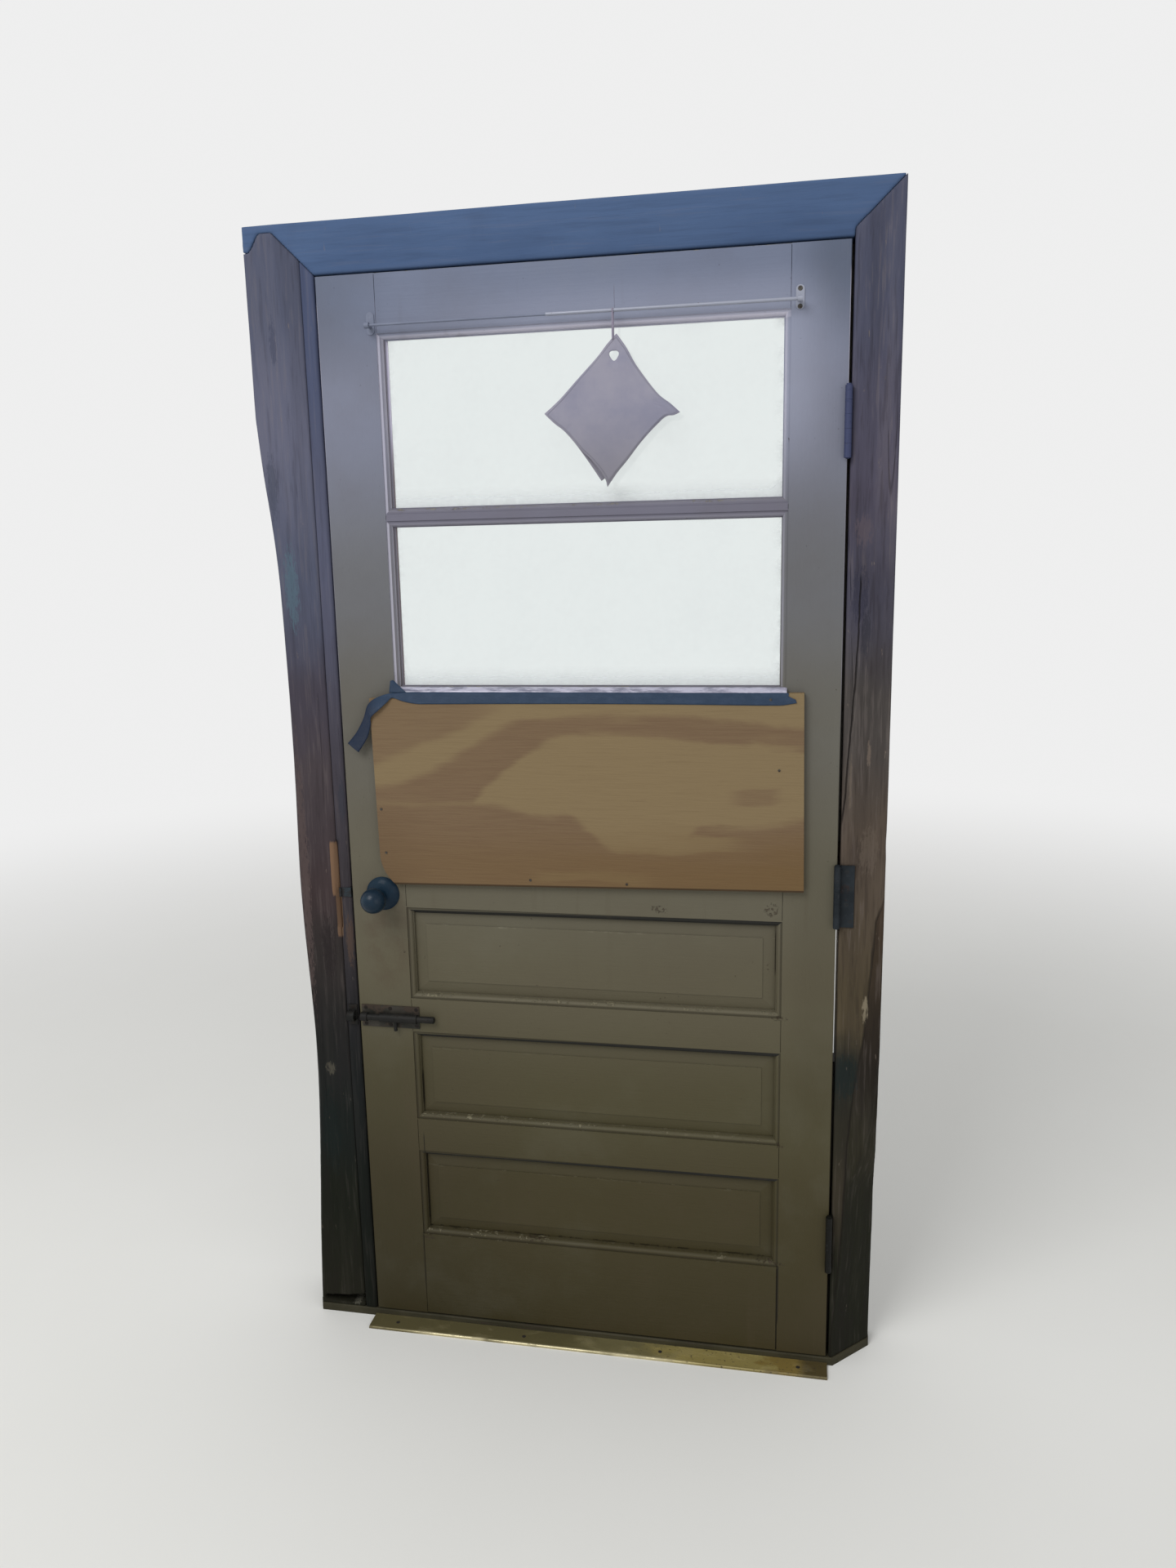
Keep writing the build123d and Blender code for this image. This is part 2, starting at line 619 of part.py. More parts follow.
change = (places["lock_rail"][0] + places["lock_rail"][1]) / 2
lock_stile = hinge_stile = None
for kind, z0, z1 in (("panel", leaf_foot, change), ("light", change, leaf_top)):
    lock_piece = plan(Pos(leaf_left, front) * member(lock_flat, above=kind), z0, z1)
    hinge_piece = plan(Pos(flat_right, front) * member(hinge_flat, below=kind), z0, z1)
    lock_stile = lock_piece if lock_stile is None else lock_stile + lock_piece
    hinge_stile = hinge_piece if hinge_stile is None else hinge_stile + hinge_piece

# Plywood, drawn from its upper right corner, with its lower left corner cut away round
# the rosette
ply_x0 = leaf_left + ply_left
ply_x1 = leaf_right - ply_right
ply_z0 = places["hidden_light"][0] - ply_drop
ply_z1 = places["lower_muntin"][0] + ply_rise
ply_front = front - ply_thickness
ply_width, ply_height = ply_x1 - ply_x0, ply_z1 - ply_z0
ply_turn = Pos(ply_x1, ply_z1) * Rot(0, 0, ply_tilt)
ply_edge = Polyline((-ply_width, ply_clip_height - ply_height), (-ply_width, 0), (0, 0),
                    (0, -ply_height), (ply_clip - ply_width, -ply_height))
ply_edge += ThreePointArc((ply_clip - ply_width, -ply_height),
                          (0.44 * ply_clip - ply_width, 0.32 * ply_clip_height - ply_height),
                          (-ply_width, ply_clip_height - ply_height))
plywood = elevation(ply_turn * make_face(ply_edge.edges()), ply_front, front)
# Nails, placed in shares of the sheet. The two highest go through the tape.
nails = []
for across, up in ((0.369, 0.037), (0.598, 0.025), (0.011, 0.411), (0.016, 0.174), (0.946, 0.62),
                   (0.928, 0.97), (0.977, 0.964)):
    x, z, _ = (ply_turn * Pos((across - 1) * ply_width, (up - 1) * ply_height)).position
    seat = ply_front - (tape_thickness if up > 0.9 else 0)
    nail = round_y(x, seat - nail_head_height, seat, z, nail_head)
    nail += round_y(x, seat - 0.1, seat + nail_length, z, nail_shank)
    nails.append(nail)

# Rails and glazing bars are coped over the stiles' moulding. A fine line is open at each joint.
cross_members = {}
for name, height, *kinds in levels:
    if not kinds:
        continue
    z0, z1 = places[name]
    section = Plane(origin=(flat_right, front, z0), x_dir=(0, 0, 1), z_dir=(-1, 0, 0)) * member(height, *kinds)
    rail = extrude(section, amount=flat_right - flat_left) - [lock_stile, hinge_stile]
    right_line = open_joint if name == "bottom_rail" else joint_line
    for x0, x1 in ((flat_left, flat_left + joint_line), (flat_right - right_line, flat_right)):
        rail -= block(x0, x1, front - 1, front + joint_depth, z0 + bead_step, z1 - bead_step)
    cross_members[name] = rail
for name in ("upper_mid_rail", "lock_rail", "lower_muntin", "top_rail"):
    cross_members[name] -= leaf_screws + nails

case_bore = round_x(leaf_left - 1, case_end, latch_y, knob_z, case_radius + case_fit)
lock_stile -= [case_bore, face_plate, round_y(knob_x, front - 1, leaf_back + 1, knob_z, cross_bore)]
lock_stile -= leaf_screws + nails
hinge_stile -= [hinges[name][1] for name in hinges] + leaf_screws + nails


def window_face(low, high, inset):
    return outline((flat_left + inset, low + inset), (flat_right - inset, low + inset),
                   (flat_right - inset, high - inset), (flat_left + inset, high - inset))


def tapered(low, high, inset0, depth0, inset1, depth1):
    """A block between two rectangles, each inset from the flats at its own depth."""
    faces = [Pos(0, front + depth, 0) * (Plane.XZ * window_face(low, high, inset))
             for inset, depth in ((inset0, depth0), (inset1, depth1))]
    return loft(Sketch() + faces)


# Raised panels, loose in their grooves: a bevel rises to a stepped field on both faces
panels = {}
for name in ("lower_panel", "middle_panel", "upper_panel"):
    low, high = places[name]
    edge = lip_depth + panel_edge_gap
    panel = elevation(window_face(low, high, panel_play), front + edge, leaf_back - edge)
    for depth in (lambda v: v, lambda v: leaf_thickness - v):
        panel += tapered(low, high, bead_width, depth(edge), bead_width + field_inset,
                         depth(field_depth + field_step))
    panel += elevation(window_face(low, high, bead_width + field_inset),
                       front + field_depth, leaf_back - field_depth)
    panels[name] = panel

panes, putties = {}, {}
for name in ("lower", "upper"):
    low, high = places[name + "_light"]
    behind = lip_depth + glass_thickness
    panes[name] = elevation(window_face(low, high, glass_play), front + lip_depth, front + behind)
    putty = elevation(window_face(low, high, 0), front + behind, front + behind + putty_depth)
    putties[name] = putty - tapered(low, high, putty_width, behind, 0.5, behind + putty_depth)

# Tape: stuck along the sheet's top edge and turned back on to the glazing bar above it.
# Its left end hangs loose as a tail, with a folded ear over it. The two ends are drawn
# in tape widths from the sheet's corner and from the strip's end.
tape_y = ply_front - tape_thickness
tape_top = ply_z1 + tape_thickness
tail = ((3.43, 0), (3.14, 0.29), (2.29, 1.1), (2, 0.86), (1.86, 0.19), (1.9, -0.14), (1.19, -0.33), (0.43, -0.67),
        (-0.14, -1.19), (-0.52, -2.24), (-1.29, -3.52), (-1.67, -4.19), (-2.14, -4.52), (-1.19, -5.33),
        (-0.1, -3.52), (0.05, -2.52), (2.1, -0.52), (4.29, -1))
tip = ((-0.62, -1), (0.71, -0.81), (0.62, -0.52), (0, -0.24), (0, 0))
edge = [(ply_x0 + x * tape_width, tape_top + z * tape_width) for x, z in tail]
edge += [(ply_x1 - tape_inset + x * tape_width, tape_top + z * tape_width) for x, z in tip]
tape = elevation(outline(*edge), tape_y, ply_front)
under = ply_front - tape_thickness / 2
lap = outline((under, ply_z1), (ply_front, ply_z1), (front + 4, ply_z1 + tape_lap),
              (front + 3.6, ply_z1 + tape_lap + tape_thickness), (under, ply_z1 + tape_thickness / 2))
lap_start = ply_x0 + tape_left
lap_end = flat_right - bead_width - 1
tape += extrude(Pos(lap_start, 0, 0) * (Plane.YZ * lap), amount=lap_end - lap_start)

# Pot holder: two layers of cloth with a buttonhole and a loop over the rod. The cloth
# hangs a little crooked, with points drawn in sides of the square from its top corner.
cloth_y = rod_y - cloth_thickness / 2
top_x = leaf_left + holder_x
top_z = rod_level - holder_drop


def hang(x, z):
    return (top_x + x * holder_side, top_z + z * holder_side)


corner_top, corner_right = hang(0, 0), hang(0.613, -0.762)
corner_foot, corner_left = hang(-0.119, -1.446), hang(-0.75, -0.732)
cloth_edge = Spline(corner_top, hang(0.173, -0.274), hang(0.399, -0.577), corner_right)
cloth_edge += Spline(corner_right, hang(0.464, -0.821), hang(0.256, -1.03), corner_foot)
cloth_edge += Spline(corner_foot, hang(-0.292, -1.208), hang(-0.589, -0.875), corner_left)
cloth_edge += Line(corner_left, corner_top)
cloth = elevation(make_face(cloth_edge.edges()), cloth_y, cloth_y + cloth_thickness)
cloth += elevation(outline(hang(-0.012, -0.083), hang(0.512, -0.762), hang(-0.226, -1.387), hang(-0.69, -0.738)),
                   cloth_y + cloth_thickness, cloth_y + cloth_thickness + cloth_back)
eye = outline(hang(-0.095, -0.137), hang(0.012, -0.137), hang(-0.042, -0.244))
cloth -= elevation(fillet(eye.vertices(), 0.02 * holder_side), cloth_y - 1, cloth_y + cloth_thickness + cloth_back + 1)
ring = tube_radius + loop_fit + loop_strap
drop = Pos(rod_y, rod_level) * Circle(ring)
drop += outline((rod_y - ring, rod_level), (rod_y + ring, rod_level), (rod_y + 1, top_z + 2),
                (rod_y + 1, top_z - 9), (rod_y - 1, top_z - 9), (rod_y - 1, top_z + 2))
drop -= Pos(rod_y, rod_level) * Circle(tube_radius + loop_fit)
pot_holder = cloth + extrude(Pos(top_x - 0.054 * holder_side, 0, 0) * (Plane.YZ * drop), amount=loop_width)

# Everything is saved once the plates have their screw holes
slide_plate -= leaf_screws
bolt_keeper -= frame_screws
strike_plate -= frame_screws
latch_case -= leaf_screws
save(sill, "sill")
save(threshold_strip, "threshold_strip")
save(left_post, "left_post")
save(left_jamb, "left_jamb")
save(right_post, "right_post")
save(head_beam, "head_beam")
save(head_stop, "head_stop")
save(left_stop, "left_stop")
save(right_stop[0], "right_stop_lower")
save(right_stop[1], "right_stop_upper")
save(strike_plate, "strike_plate")
save(bolt_keeper, "bolt_keeper")
save(Compound([s.solid() for s in frame_screws]), "frame_screws")
for name, (frame_leaf, door_leaf, pin, z0) in hinges.items():
    save(frame_leaf - frame_screws, f"hinge_{name}_frame_leaf")
    save(door_leaf - leaf_screws, f"hinge_{name}_door_leaf")
    save(pin, f"hinge_{name}_pin")
save(lock_stile, "lock_stile")
save(hinge_stile, "hinge_stile")
for name, rail in cross_members.items():
    save(rail, name)
for name, panel in panels.items():
    save(panel, name)
for name in panes:
    save(panes[name], f"{name}_pane")
    save(putties[name], f"{name}_putty")
save(plywood - nails, "plywood_sheet")
save(Compound([n.solid() for n in nails]), "plywood_nails")
save(tape - nails, "tape")
save(Compound([s.solid() for s in leaf_screws]), "leaf_screws")
save(latch_case, "latch_case")
save(inner_rosette, "inner_rosette")
save(outer_rosette, "outer_rosette")
save(slide_plate, "slide_bolt_plate")
save(slide_bar, "slide_bar")
save(rod_tube, "rod_tube")
save(rod_inner, "rod_inner")
for name, bracket in brackets.items():
    save(bracket - leaf_screws, f"rod_bracket_{name}")
save(pot_holder, "pot_holder")
save(inner_knob, "inner_knob")
save(outer_knob, "outer_knob")
save(spindle, "spindle")
save(latch_bolt, "latch_bolt")
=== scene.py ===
import math

import bmesh
import bpy
from mathutils import Matrix, Vector, noise


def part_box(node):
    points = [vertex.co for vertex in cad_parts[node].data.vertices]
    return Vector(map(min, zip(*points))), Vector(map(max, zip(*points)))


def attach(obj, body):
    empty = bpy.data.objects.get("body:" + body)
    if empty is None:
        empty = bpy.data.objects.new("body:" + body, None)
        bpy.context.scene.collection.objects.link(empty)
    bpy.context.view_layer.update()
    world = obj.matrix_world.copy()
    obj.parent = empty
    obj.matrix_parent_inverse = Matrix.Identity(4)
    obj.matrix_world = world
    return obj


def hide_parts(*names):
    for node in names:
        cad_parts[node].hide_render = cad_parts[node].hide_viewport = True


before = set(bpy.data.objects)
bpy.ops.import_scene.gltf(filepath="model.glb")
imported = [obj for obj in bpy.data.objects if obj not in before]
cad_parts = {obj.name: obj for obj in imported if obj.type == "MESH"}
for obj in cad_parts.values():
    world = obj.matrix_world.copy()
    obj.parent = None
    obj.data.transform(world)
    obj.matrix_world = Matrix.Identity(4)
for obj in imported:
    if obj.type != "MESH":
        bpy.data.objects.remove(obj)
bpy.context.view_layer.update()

# Camera. The picture was taken from eye height, two metres from the leaf and a little to
# the right of its middle, with a wide lens tipped down. The picture is 1440 by 1920.
image_height = 1920
focal_pixels = 1375
eye = Vector((0.4169, -2.0256, 1.5343))
ahead = Vector((-0.187, 0.9633, -0.1925))
up = Vector((-0.0172, 0.1927, 0.9811))

lens = bpy.data.cameras.new("camera")
lens.sensor_fit = "VERTICAL"
lens.sensor_height = 36
lens.lens = lens.sensor_height * focal_pixels / image_height
camera = bpy.data.objects.new("camera", lens)
bpy.context.collection.objects.link(camera)
camera.matrix_world = Matrix.Translation(eye) @ Matrix((ahead.cross(up), up, -ahead)).transposed().to_4x4()
bpy.context.scene.camera = camera
bpy.context.scene.view_settings.view_transform = "Standard"

# Light. One large soft panel stands in front, high on the left, with a weaker one low on
# the right, in a pale room. The picture shows the room's own pale tone behind the glass.
room_light = 0.62
room_tone = 0.86


def aimed_panel(name, place, target, size, watts):
    panel = bpy.data.lights.new(name, "AREA")
    panel.shape = "SQUARE"
    panel.size = size
    panel.energy = watts
    lamp = bpy.data.objects.new(name, panel)
    bpy.context.collection.objects.link(lamp)
    turn = (Vector(target) - Vector(place)).to_track_quat("-Z", "Y")
    lamp.matrix_world = Matrix.Translation(place) @ turn.to_matrix().to_4x4()


aimed_panel("key_panel", (-1.6, -3.2, 4.2), (0, 0, 1.0), 2.4, 122)
aimed_panel("fill_panel", (3.4, -3.4, 1.6), (0, 0, 1.0), 3.0, 24)


class Shade:
    """A value in a material's nodes. Signs between values add their Math nodes."""

    def __init__(self, tree, socket=None):
        self.tree = tree
        self.socket = socket

    def node(self, kind, sockets=(), out=0, **settings):
        """Adds a node of that kind: its settings first, then its sockets' values or links."""
        made = self.tree.nodes.new("ShaderNode" + kind)
        for name, value in settings.items():
            setattr(made, name, value)
        for name, value in dict(sockets).items():
            if isinstance(value, Shade):
                self.tree.links.new(value.socket, made.inputs[name])
            else:
                made.inputs[name].default_value = value
        return Shade(self.tree, made.outputs[out])

    def math(self, operation, other=0.0):
        return self.node("Math", {0: self, 1: other}, operation=operation)

    def __add__(self, other):
        return self.math("ADD", other)

    def __sub__(self, other):
        return self.math("SUBTRACT", other)

    def __mul__(self, other):
        return self.math("MULTIPLY", other)

    def __truediv__(self, other):
        return self.math("DIVIDE", other)

    def __rsub__(self, other):
        return self.node("Math", {0: other, 1: self}, operation="SUBTRACT")

    def __pow__(self, other):
        return self.math("POWER", other)

    def __abs__(self):
        return self.math("ABSOLUTE")

    __radd__ = __add__
    __rmul__ = __mul__

    def step(self, low, high):
        """Rises smoothly from 0 at low to 1 at high, or falls where low is the larger."""
        return self.node("MapRange", {"Value": self, "From Min": low, "From Max": high},
                         interpolation_type="SMOOTHSTEP")

    def blend(self, under, over):
        """The colour under where this is 0, and over where it is 1."""
        return self.node("Mix", {0: self, 6: under, 7: over}, out=2, data_type="RGBA")

    def drawn(self, x, y, z):
        """These points drawn out by a factor each way, for a pattern that runs with the grain."""
        return self.node("VectorMath", {0: self, 1: (x, y, z)}, operation="MULTIPLY")

    def cloud(self, scale, detail=4, rough=0.55, warp=0.0):
        """Soft noise about 0.5 over these points."""
        return self.node("TexNoise", {"Vector": self, "Scale": scale, "Detail": detail, "Roughness": rough,
                                      "Distortion": warp})

    def along(self, axis):
        return self.node("SeparateXYZ", {0: self}, out=axis)


def seen_plainly(shade):
    """1 for rays from the camera, off a gloss or through the glass, and 0 for the light's own."""
    camera_ray, glossy_ray, glass_ray = (shade.node("LightPath", out=f"Is {kind} Ray")
                                         for kind in ("Camera", "Glossy", "Transmission"))
    return camera_ray.math("MAXIMUM", glossy_ray).math("MAXIMUM", glass_ray)


room = bpy.data.worlds.new("room")
bpy.context.scene.world = room
room.use_nodes = True
backdrop = room.node_tree.nodes["Background"]
backdrop.inputs["Color"].default_value = (1, 1, 1, 1)
strength = seen_plainly(Shade(room.node_tree)) * (room_tone - room_light) + room_light
room.node_tree.links.new(strength.socket, backdrop.inputs["Strength"])

# Floor. A plain pale floor that the sill board and the metal strip stand on. Far off it
# passes into the room's tone.


def tone(red, green, blue):
    """A colour as the screen shows it, from 0 to 255 each, made linear."""
    shown = (red / 255, green / 255, blue / 255)
    return (*[c / 12.92 if c < 0.04 else ((c + 0.055) / 1.055) ** 2.4 for c in shown], 1)


def finish(name, **plain):
    """A new material with its shader's plain values, and the piece's points to draw on."""
    made = bpy.data.materials.new(name)
    made.use_nodes = True
    shader = made.node_tree.nodes["Principled BSDF"]
    for socket, value in plain.items():
        shader.inputs[socket.replace("_", " ").title().replace("Ior", "IOR")].default_value = value
    return made, Shade(made.node_tree).node("TexCoord", out="Object")


def coat(made, colour=None, rough=None, metal=None, relief=None, depth=0.001):
    """Lays colour, roughness, metal and relief on a material's surface."""
    shader = made.node_tree.nodes["Principled BSDF"]
    if relief:
        relief = relief.node("Bump", {"Height": relief, "Distance": depth, "Strength": 1.0})
    laid = {"Base Color": colour, "Roughness": rough, "Metallic": metal, "Normal": relief}
    for socket, value in laid.items():
        if isinstance(value, Shade):
            made.node_tree.links.new(value.socket, shader.inputs[socket])
        elif value is not None:
            shader.inputs[socket].default_value = value


def made_object(name, shape):
    """An object at the origin with the bmesh's shape, which is freed."""
    mesh = bpy.data.meshes.new(name)
    shape.to_mesh(mesh)
    shape.free()
    made = bpy.data.objects.new(name, mesh)
    bpy.context.collection.objects.link(made)
    return made


floor_half = 30
fade_from, fade_to = 1.6, 6.0
shape = bmesh.new()
bmesh.ops.create_grid(shape, x_segments=1, y_segments=1, size=floor_half)
floor = made_object("floor", shape)
floor_paint, at = finish("floor_paint", specular_ior_level=0.1)
coat(floor_paint, at.cloud(1.5).blend(tone(226, 226, 222), tone(231, 231, 228)), 0.8)
tree = floor_paint.node_tree
lit = Shade(tree, tree.nodes["Principled BSDF"].outputs[0])
far = at.node("VectorMath", {0: at}, out="Value", operation="LENGTH").step(fade_from, fade_to)
haze = at.node("Emission", {"Color": (1, 1, 1, 1), "Strength": room_tone})
both = at.node("MixShader", {0: far * seen_plainly(at), 1: lit, 2: haze})
tree.links.new(both.socket, tree.nodes["Material Output"].inputs["Surface"])
floor.data.materials.append(floor_paint)

# Sill board. A worn softwood board under the whole frame, brown where feet have scuffed
# its front edge, with the floor's dust in the grain.


def dress(material, *names):
    """Gives CAD nodes a finish through their material slots."""
    for name in names:
        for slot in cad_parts[name].material_slots:
            slot.material = material


def grain(at, axis, fine=1.0):
    """Noise drawn out along a timber's length: broad figure and fine fibre, each about 0.5."""
    drawn = {"X": (0.06, 1, 1), "Y": (1, 0.06, 1), "Z": (1, 1, 0.06)}[axis]
    lines = at.drawn(*drawn)
    return lines.cloud(28 * fine, 5, 0.6, 0.4), lines.cloud(150 * fine, 3, 0.6)


sill_wood, at = finish("sill_wood", specular_ior_level=0.25)
figure, fibre = grain(at, "X")
worn = at.cloud(9, 5).step(0.42, 0.66)
colour = figure.step(0.3, 0.7).blend(tone(42, 40, 26), tone(56, 52, 36))
colour = (worn * 0.5).blend(colour, tone(64, 60, 44))
colour = fibre.step(0.62, 0.72).blend(colour, tone(52, 44, 36))
coat(sill_wood, colour, 0.8 - worn * 0.15, relief=figure + fibre * 0.5, depth=0.002)
dress(sill_wood, "sill")

# Metal strip. A drawn strip of soft yellow metal, screwed down against the sill. Its nose is
# rubbed bright in the middle, with a painted highlight along that front edge, and its flat is
# dull with dirt and dark spots.
strip_low, strip_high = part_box("threshold_strip")
strip_metal, at = finish("strip_metal")
share = (at.along("X") - strip_low.x) / (strip_high.x - strip_low.x)
nose = at.along("Y").step(strip_low.y + 0.006, strip_low.y + 0.001)
rubbed = share.step(0.05, 0.16) * share.step(0.78, 0.62) * at.drawn(1, 0, 0).cloud(9, 2).step(0.34, 0.5)
dirt = at.drawn(0.5, 1, 1).cloud(26, 6, 0.7).step(0.5, 0.62)
spots = at.cloud(150, 3, 0.6).step(0.6, 0.68) * share.step(0.5, 0.75)
mottled = share + (at.drawn(1, 2, 1).cloud(24, 5, 0.65) - 0.5) * 0.22
colour = mottled.step(0.42, 0.54).blend(tone(110, 103, 70), tone(134, 126, 88))
colour = mottled.step(0.58, 0.7).blend(colour, tone(172, 157, 96))
colour = mottled.step(0.86, 0.9).blend(colour, tone(152, 131, 72))
colour = share.step(0.93, 0.96).blend(colour, tone(98, 86, 54))
colour = (dirt * 0.4).blend(colour, tone(80, 72, 48))
# The nose's bright line is metal rubbed bright and a painted highlight along the front edge.
colour = (nose * rubbed * 0.8).blend(colour, tone(196, 186, 150))
colour = (nose * (1 - rubbed) * 0.6).blend(colour, tone(92, 84, 58))
colour = (spots * 0.8).blend(colour, tone(52, 42, 28))
coat(strip_metal, colour, 0.42 + dirt * 0.25 - nose * rubbed * 0.12, 0.5 - dirt * 0.3 - spots * 0.2,
     dirt * 0.4 - spots * 0.6, 0.0006)
dress(strip_metal, "threshold_strip")

# Posts. Each is a rough-sawn log with a waney edge, old stain over grey wood, drying cracks
# and pale nicks. The weathered skin follows the CAD timber's outline.
voxel = 0.004
frame_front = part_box("head_beam")[0].y


def weathered(name, axis, free_side, depth=0.0016):
    """A rougher copy of a CAD timber, its front and its free side worn in along the grain."""
    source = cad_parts[name]
    shape = bmesh.new()
    shape.from_mesh(source.data)
    bmesh.ops.remove_doubles(shape, verts=shape.verts, dist=1e-5)
    made = made_object(name + "_timber", shape)
    remesh = made.modifiers.new("skin", "REMESH")
    remesh.mode = "VOXEL"
    remesh.voxel_size = voxel
    graph = bpy.context.evaluated_depsgraph_get()
    skin = bpy.data.meshes.new_from_object(made.evaluated_get(graph))
    made.modifiers.clear()
    made.data = skin
    skin.update()
    squeeze = Vector((1, 1, 1))
    squeeze["XYZ".index(axis)] = 0.05
    shape = bmesh.new()
    shape.from_mesh(skin)
    shape.normal_update()
    moves = []
    for vert in shape.verts:
        run = vert.co * squeeze
        wear = 0.5 + 0.5 * noise.fractal(run * 60, 0.7, 2.2, 4)
        groove = max(0.0, 1 - abs(noise.noise(run * 26)) * 14)
        patch = max(0.0, noise.noise(vert.co * 7 + Vector((3, 9, 4))) + 0.15)
        open_air = min(1.0, max(0.0, -vert.normal.y, vert.normal.dot(free_side)) * 1.5)
        moves.append(vert.normal * -depth * open_air * (0.15 + wear * 0.6 + groove * 1.3 * patch))
    for vert, move in zip(shape.verts, moves):
        vert.co += move
    shape.to_mesh(skin)
    shape.free()
    skin.shade_smooth()
    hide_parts(name)
    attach(made, "frame")
    return made


def stained(height, stops):
    """Runs through colours up the height, from (height, colour) stops."""
    colour = stops[0][1]
    for (low, under), (high, over) in zip(stops, stops[1:]):
        colour = height.step(low, high).blend(colour, over)
    return colour


def traced(height, line):
    """How far across a line lies at each height. It is drawn through (height, across) points."""
    across = line[0][1]
    for (low, start), (high, end) in zip(line, line[1:]):
        rise = {"Value": height, "From Min": low, "From Max": high, "To Max": end - start}
        across = height.node("MapRange", rise) + across
    return across


def patch(at, x, z, across, rise, corners=2):
    """A worn patch on the wall plane, 1 inside it, torn along the grain at its edge. More
    corners make it squarer, with a cleaner edge."""
    torn = at.drawn(1, 1, 0.2).cloud(380, 5, 0.75) - 0.5
    aside = abs((at.along("X") - x) / across) ** corners
    above = abs((at.along("Z") - z) / rise) ** corners
    return (1 - aside - above + torn * (9 / corners)).step(0.2, 0.7)


def timber(name, axis, stops, patches=(), scars=(), cracks=(), wane=None, grit=1.0):
    """Old stained timber. Patches and scars are (x, z, half width, half height, colour), cracks
    are lines of (height, across) points, and the wane is such a line with its own stops."""
    made, at = finish(name, specular_ior_level=0.1)
    figure, fibre = grain(at, axis)
    height = at.along("Z")
    stain = height + (at.cloud(6, 4) - 0.5) * 0.16
    colour = stained(stain, stops)
    bark = 0.0
    if wane:
        torn = (at.drawn(1, 1, 0.12).cloud(40, 4, 0.6) - 0.5) * 0.012
        aside = at.along("X") + torn - traced(height, wane[0])
        bark = aside.step(-0.0005, 0.0012)
        colour = bark.blend(colour, stained(stain, wane[1]))
        # Painted shade: a dark line along the wane's edge.
        edge = abs(aside).step(0.0026, 0.0008) * height.step(1.0, 0.9)
        colour = (edge * 0.6).blend(colour, tone(24, 21, 17))
    colour = (figure.step(0.6, 0.34) * 0.26 * grit).blend(colour, tone(30, 25, 25))
    pale = (height.step(0.3, 1.0) * 0.6 + 0.4) * grit
    colour = (figure.step(0.5, 0.72) * pale * 0.12).blend(colour, tone(136, 126, 120))
    colour = (fibre.step(0.52, 0.68) * 0.3 * grit).blend(colour, tone(30, 25, 25))
    colour = (fibre.step(0.46, 0.32) * pale * 0.16).blend(colour, tone(130, 120, 116))
    blotch = at.drawn(1, 1, 0.4).cloud(9, 5, 0.6).step(0.52, 0.7)
    colour = (blotch * 0.26 * grit).blend(colour, tone(44, 38, 42))
    outside = at.along("Y").step(frame_front + 0.04, frame_front + 0.02)
    for x, z, across, rise, mark in patches:
        colour = (patch(at, x, z, across, rise) * outside * 0.6).blend(colour, mark)
    for x, z, across, rise, mark in scars:
        colour = (patch(at, x, z, across, rise, 8) * outside * 0.85).blend(colour, mark)
    nick = at.drawn(1, 1, 0.25).cloud(95, 3, 0.6).step(0.7, 0.76) * pale
    colour = (nick * 0.5).blend(colour, tone(128, 116, 106))
    run = {"X": (0.03, 1, 1), "Z": (1, 1, 0.03)}[axis]
    crack = abs(at.drawn(*run).cloud(16, 1, 0.4) - 0.5).step(0.005, 0.0) * 0.5
    crack = crack * at.cloud(4).step(0.55, 0.62) * grit
    for line in cracks:
        low, high = line[0][0], line[-1][0]
        aside = at.along("X") - traced(height, line) + (at.drawn(1, 1, 0.5).cloud(60, 3) - 0.5) * 0.004
        ends = height.step(low - 0.004, low + 0.02) * height.step(high + 0.004, high - 0.02)
        crack = crack.math("MAXIMUM", abs(aside).step(0.0018, 0.0006) * ends * outside)
    colour = (crack * 0.8).blend(colour, tone(20, 17, 17))
    relief = figure + fibre * 0.35 - crack * 1.2 - nick * 0.3 + bark * at.drawn(1, 1, 0.2).cloud(70, 3)
    coat(made, colour, 0.78 + figure * 0.14, relief=relief, depth=0.0018)
    return made


def retimber(made, wood):
    """Gives a weathered timber its finish and the record's slot."""
    made.data.materials.clear()
    made.data.materials.append(wood)


# The split beside the strike shows fresh wood, on the post and on the jamb board. The worn
# patches are places where the stain is knocked or rubbed off, or has gone green and dark.
strike_low, strike_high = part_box("strike_plate")
strike_z = (strike_low.z + strike_high.z) / 2
split_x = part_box("left_jamb")[0].x
fresh_wood = [(split_x - 0.0075, strike_z + 0.045, 0.0072, 0.058, tone(120, 94, 72)),
              (split_x - 0.0025, strike_z - 0.045, 0.0065, 0.05, tone(104, 82, 64))]
left_patches = [(-0.516, 1.5, 0.016, 0.09, tone(78, 100, 112)),
                (-0.503, 0.55, 0.012, 0.016, tone(84, 80, 70)),
                (-0.53, 0.95, 0.012, 0.3, tone(84, 72, 70)),
                (-0.54, 1.68, 0.012, 0.07, tone(66, 70, 84)),
                (-0.52, 1.93, 0.008, 0.05, tone(62, 66, 84)),
                (-0.49, 0.8, 0.018, 0.08, tone(36, 31, 32)),
                (-0.481, 0.03, 0.012, 0.014, tone(92, 90, 80)),
                (-0.51, 0.42, 0.024, 0.1, tone(20, 28, 27))]
left_stops = [(0.0, tone(28, 28, 19)), (0.28, tone(21, 24, 17)), (0.42, tone(21, 26, 24)),
              (0.6, tone(29, 30, 29)), (0.78, tone(46, 42, 41)), (0.92, tone(62, 52, 53)),
              (1.15, tone(70, 63, 67)), (1.3, tone(67, 63, 73)), (1.5, tone(77, 81, 99)),
              (1.78, tone(91, 93, 111)), (2.02, tone(77, 81, 99))]
left_post_wood = timber("left_post_wood", "Z", left_stops, left_patches, fresh_wood, grit=0.65)
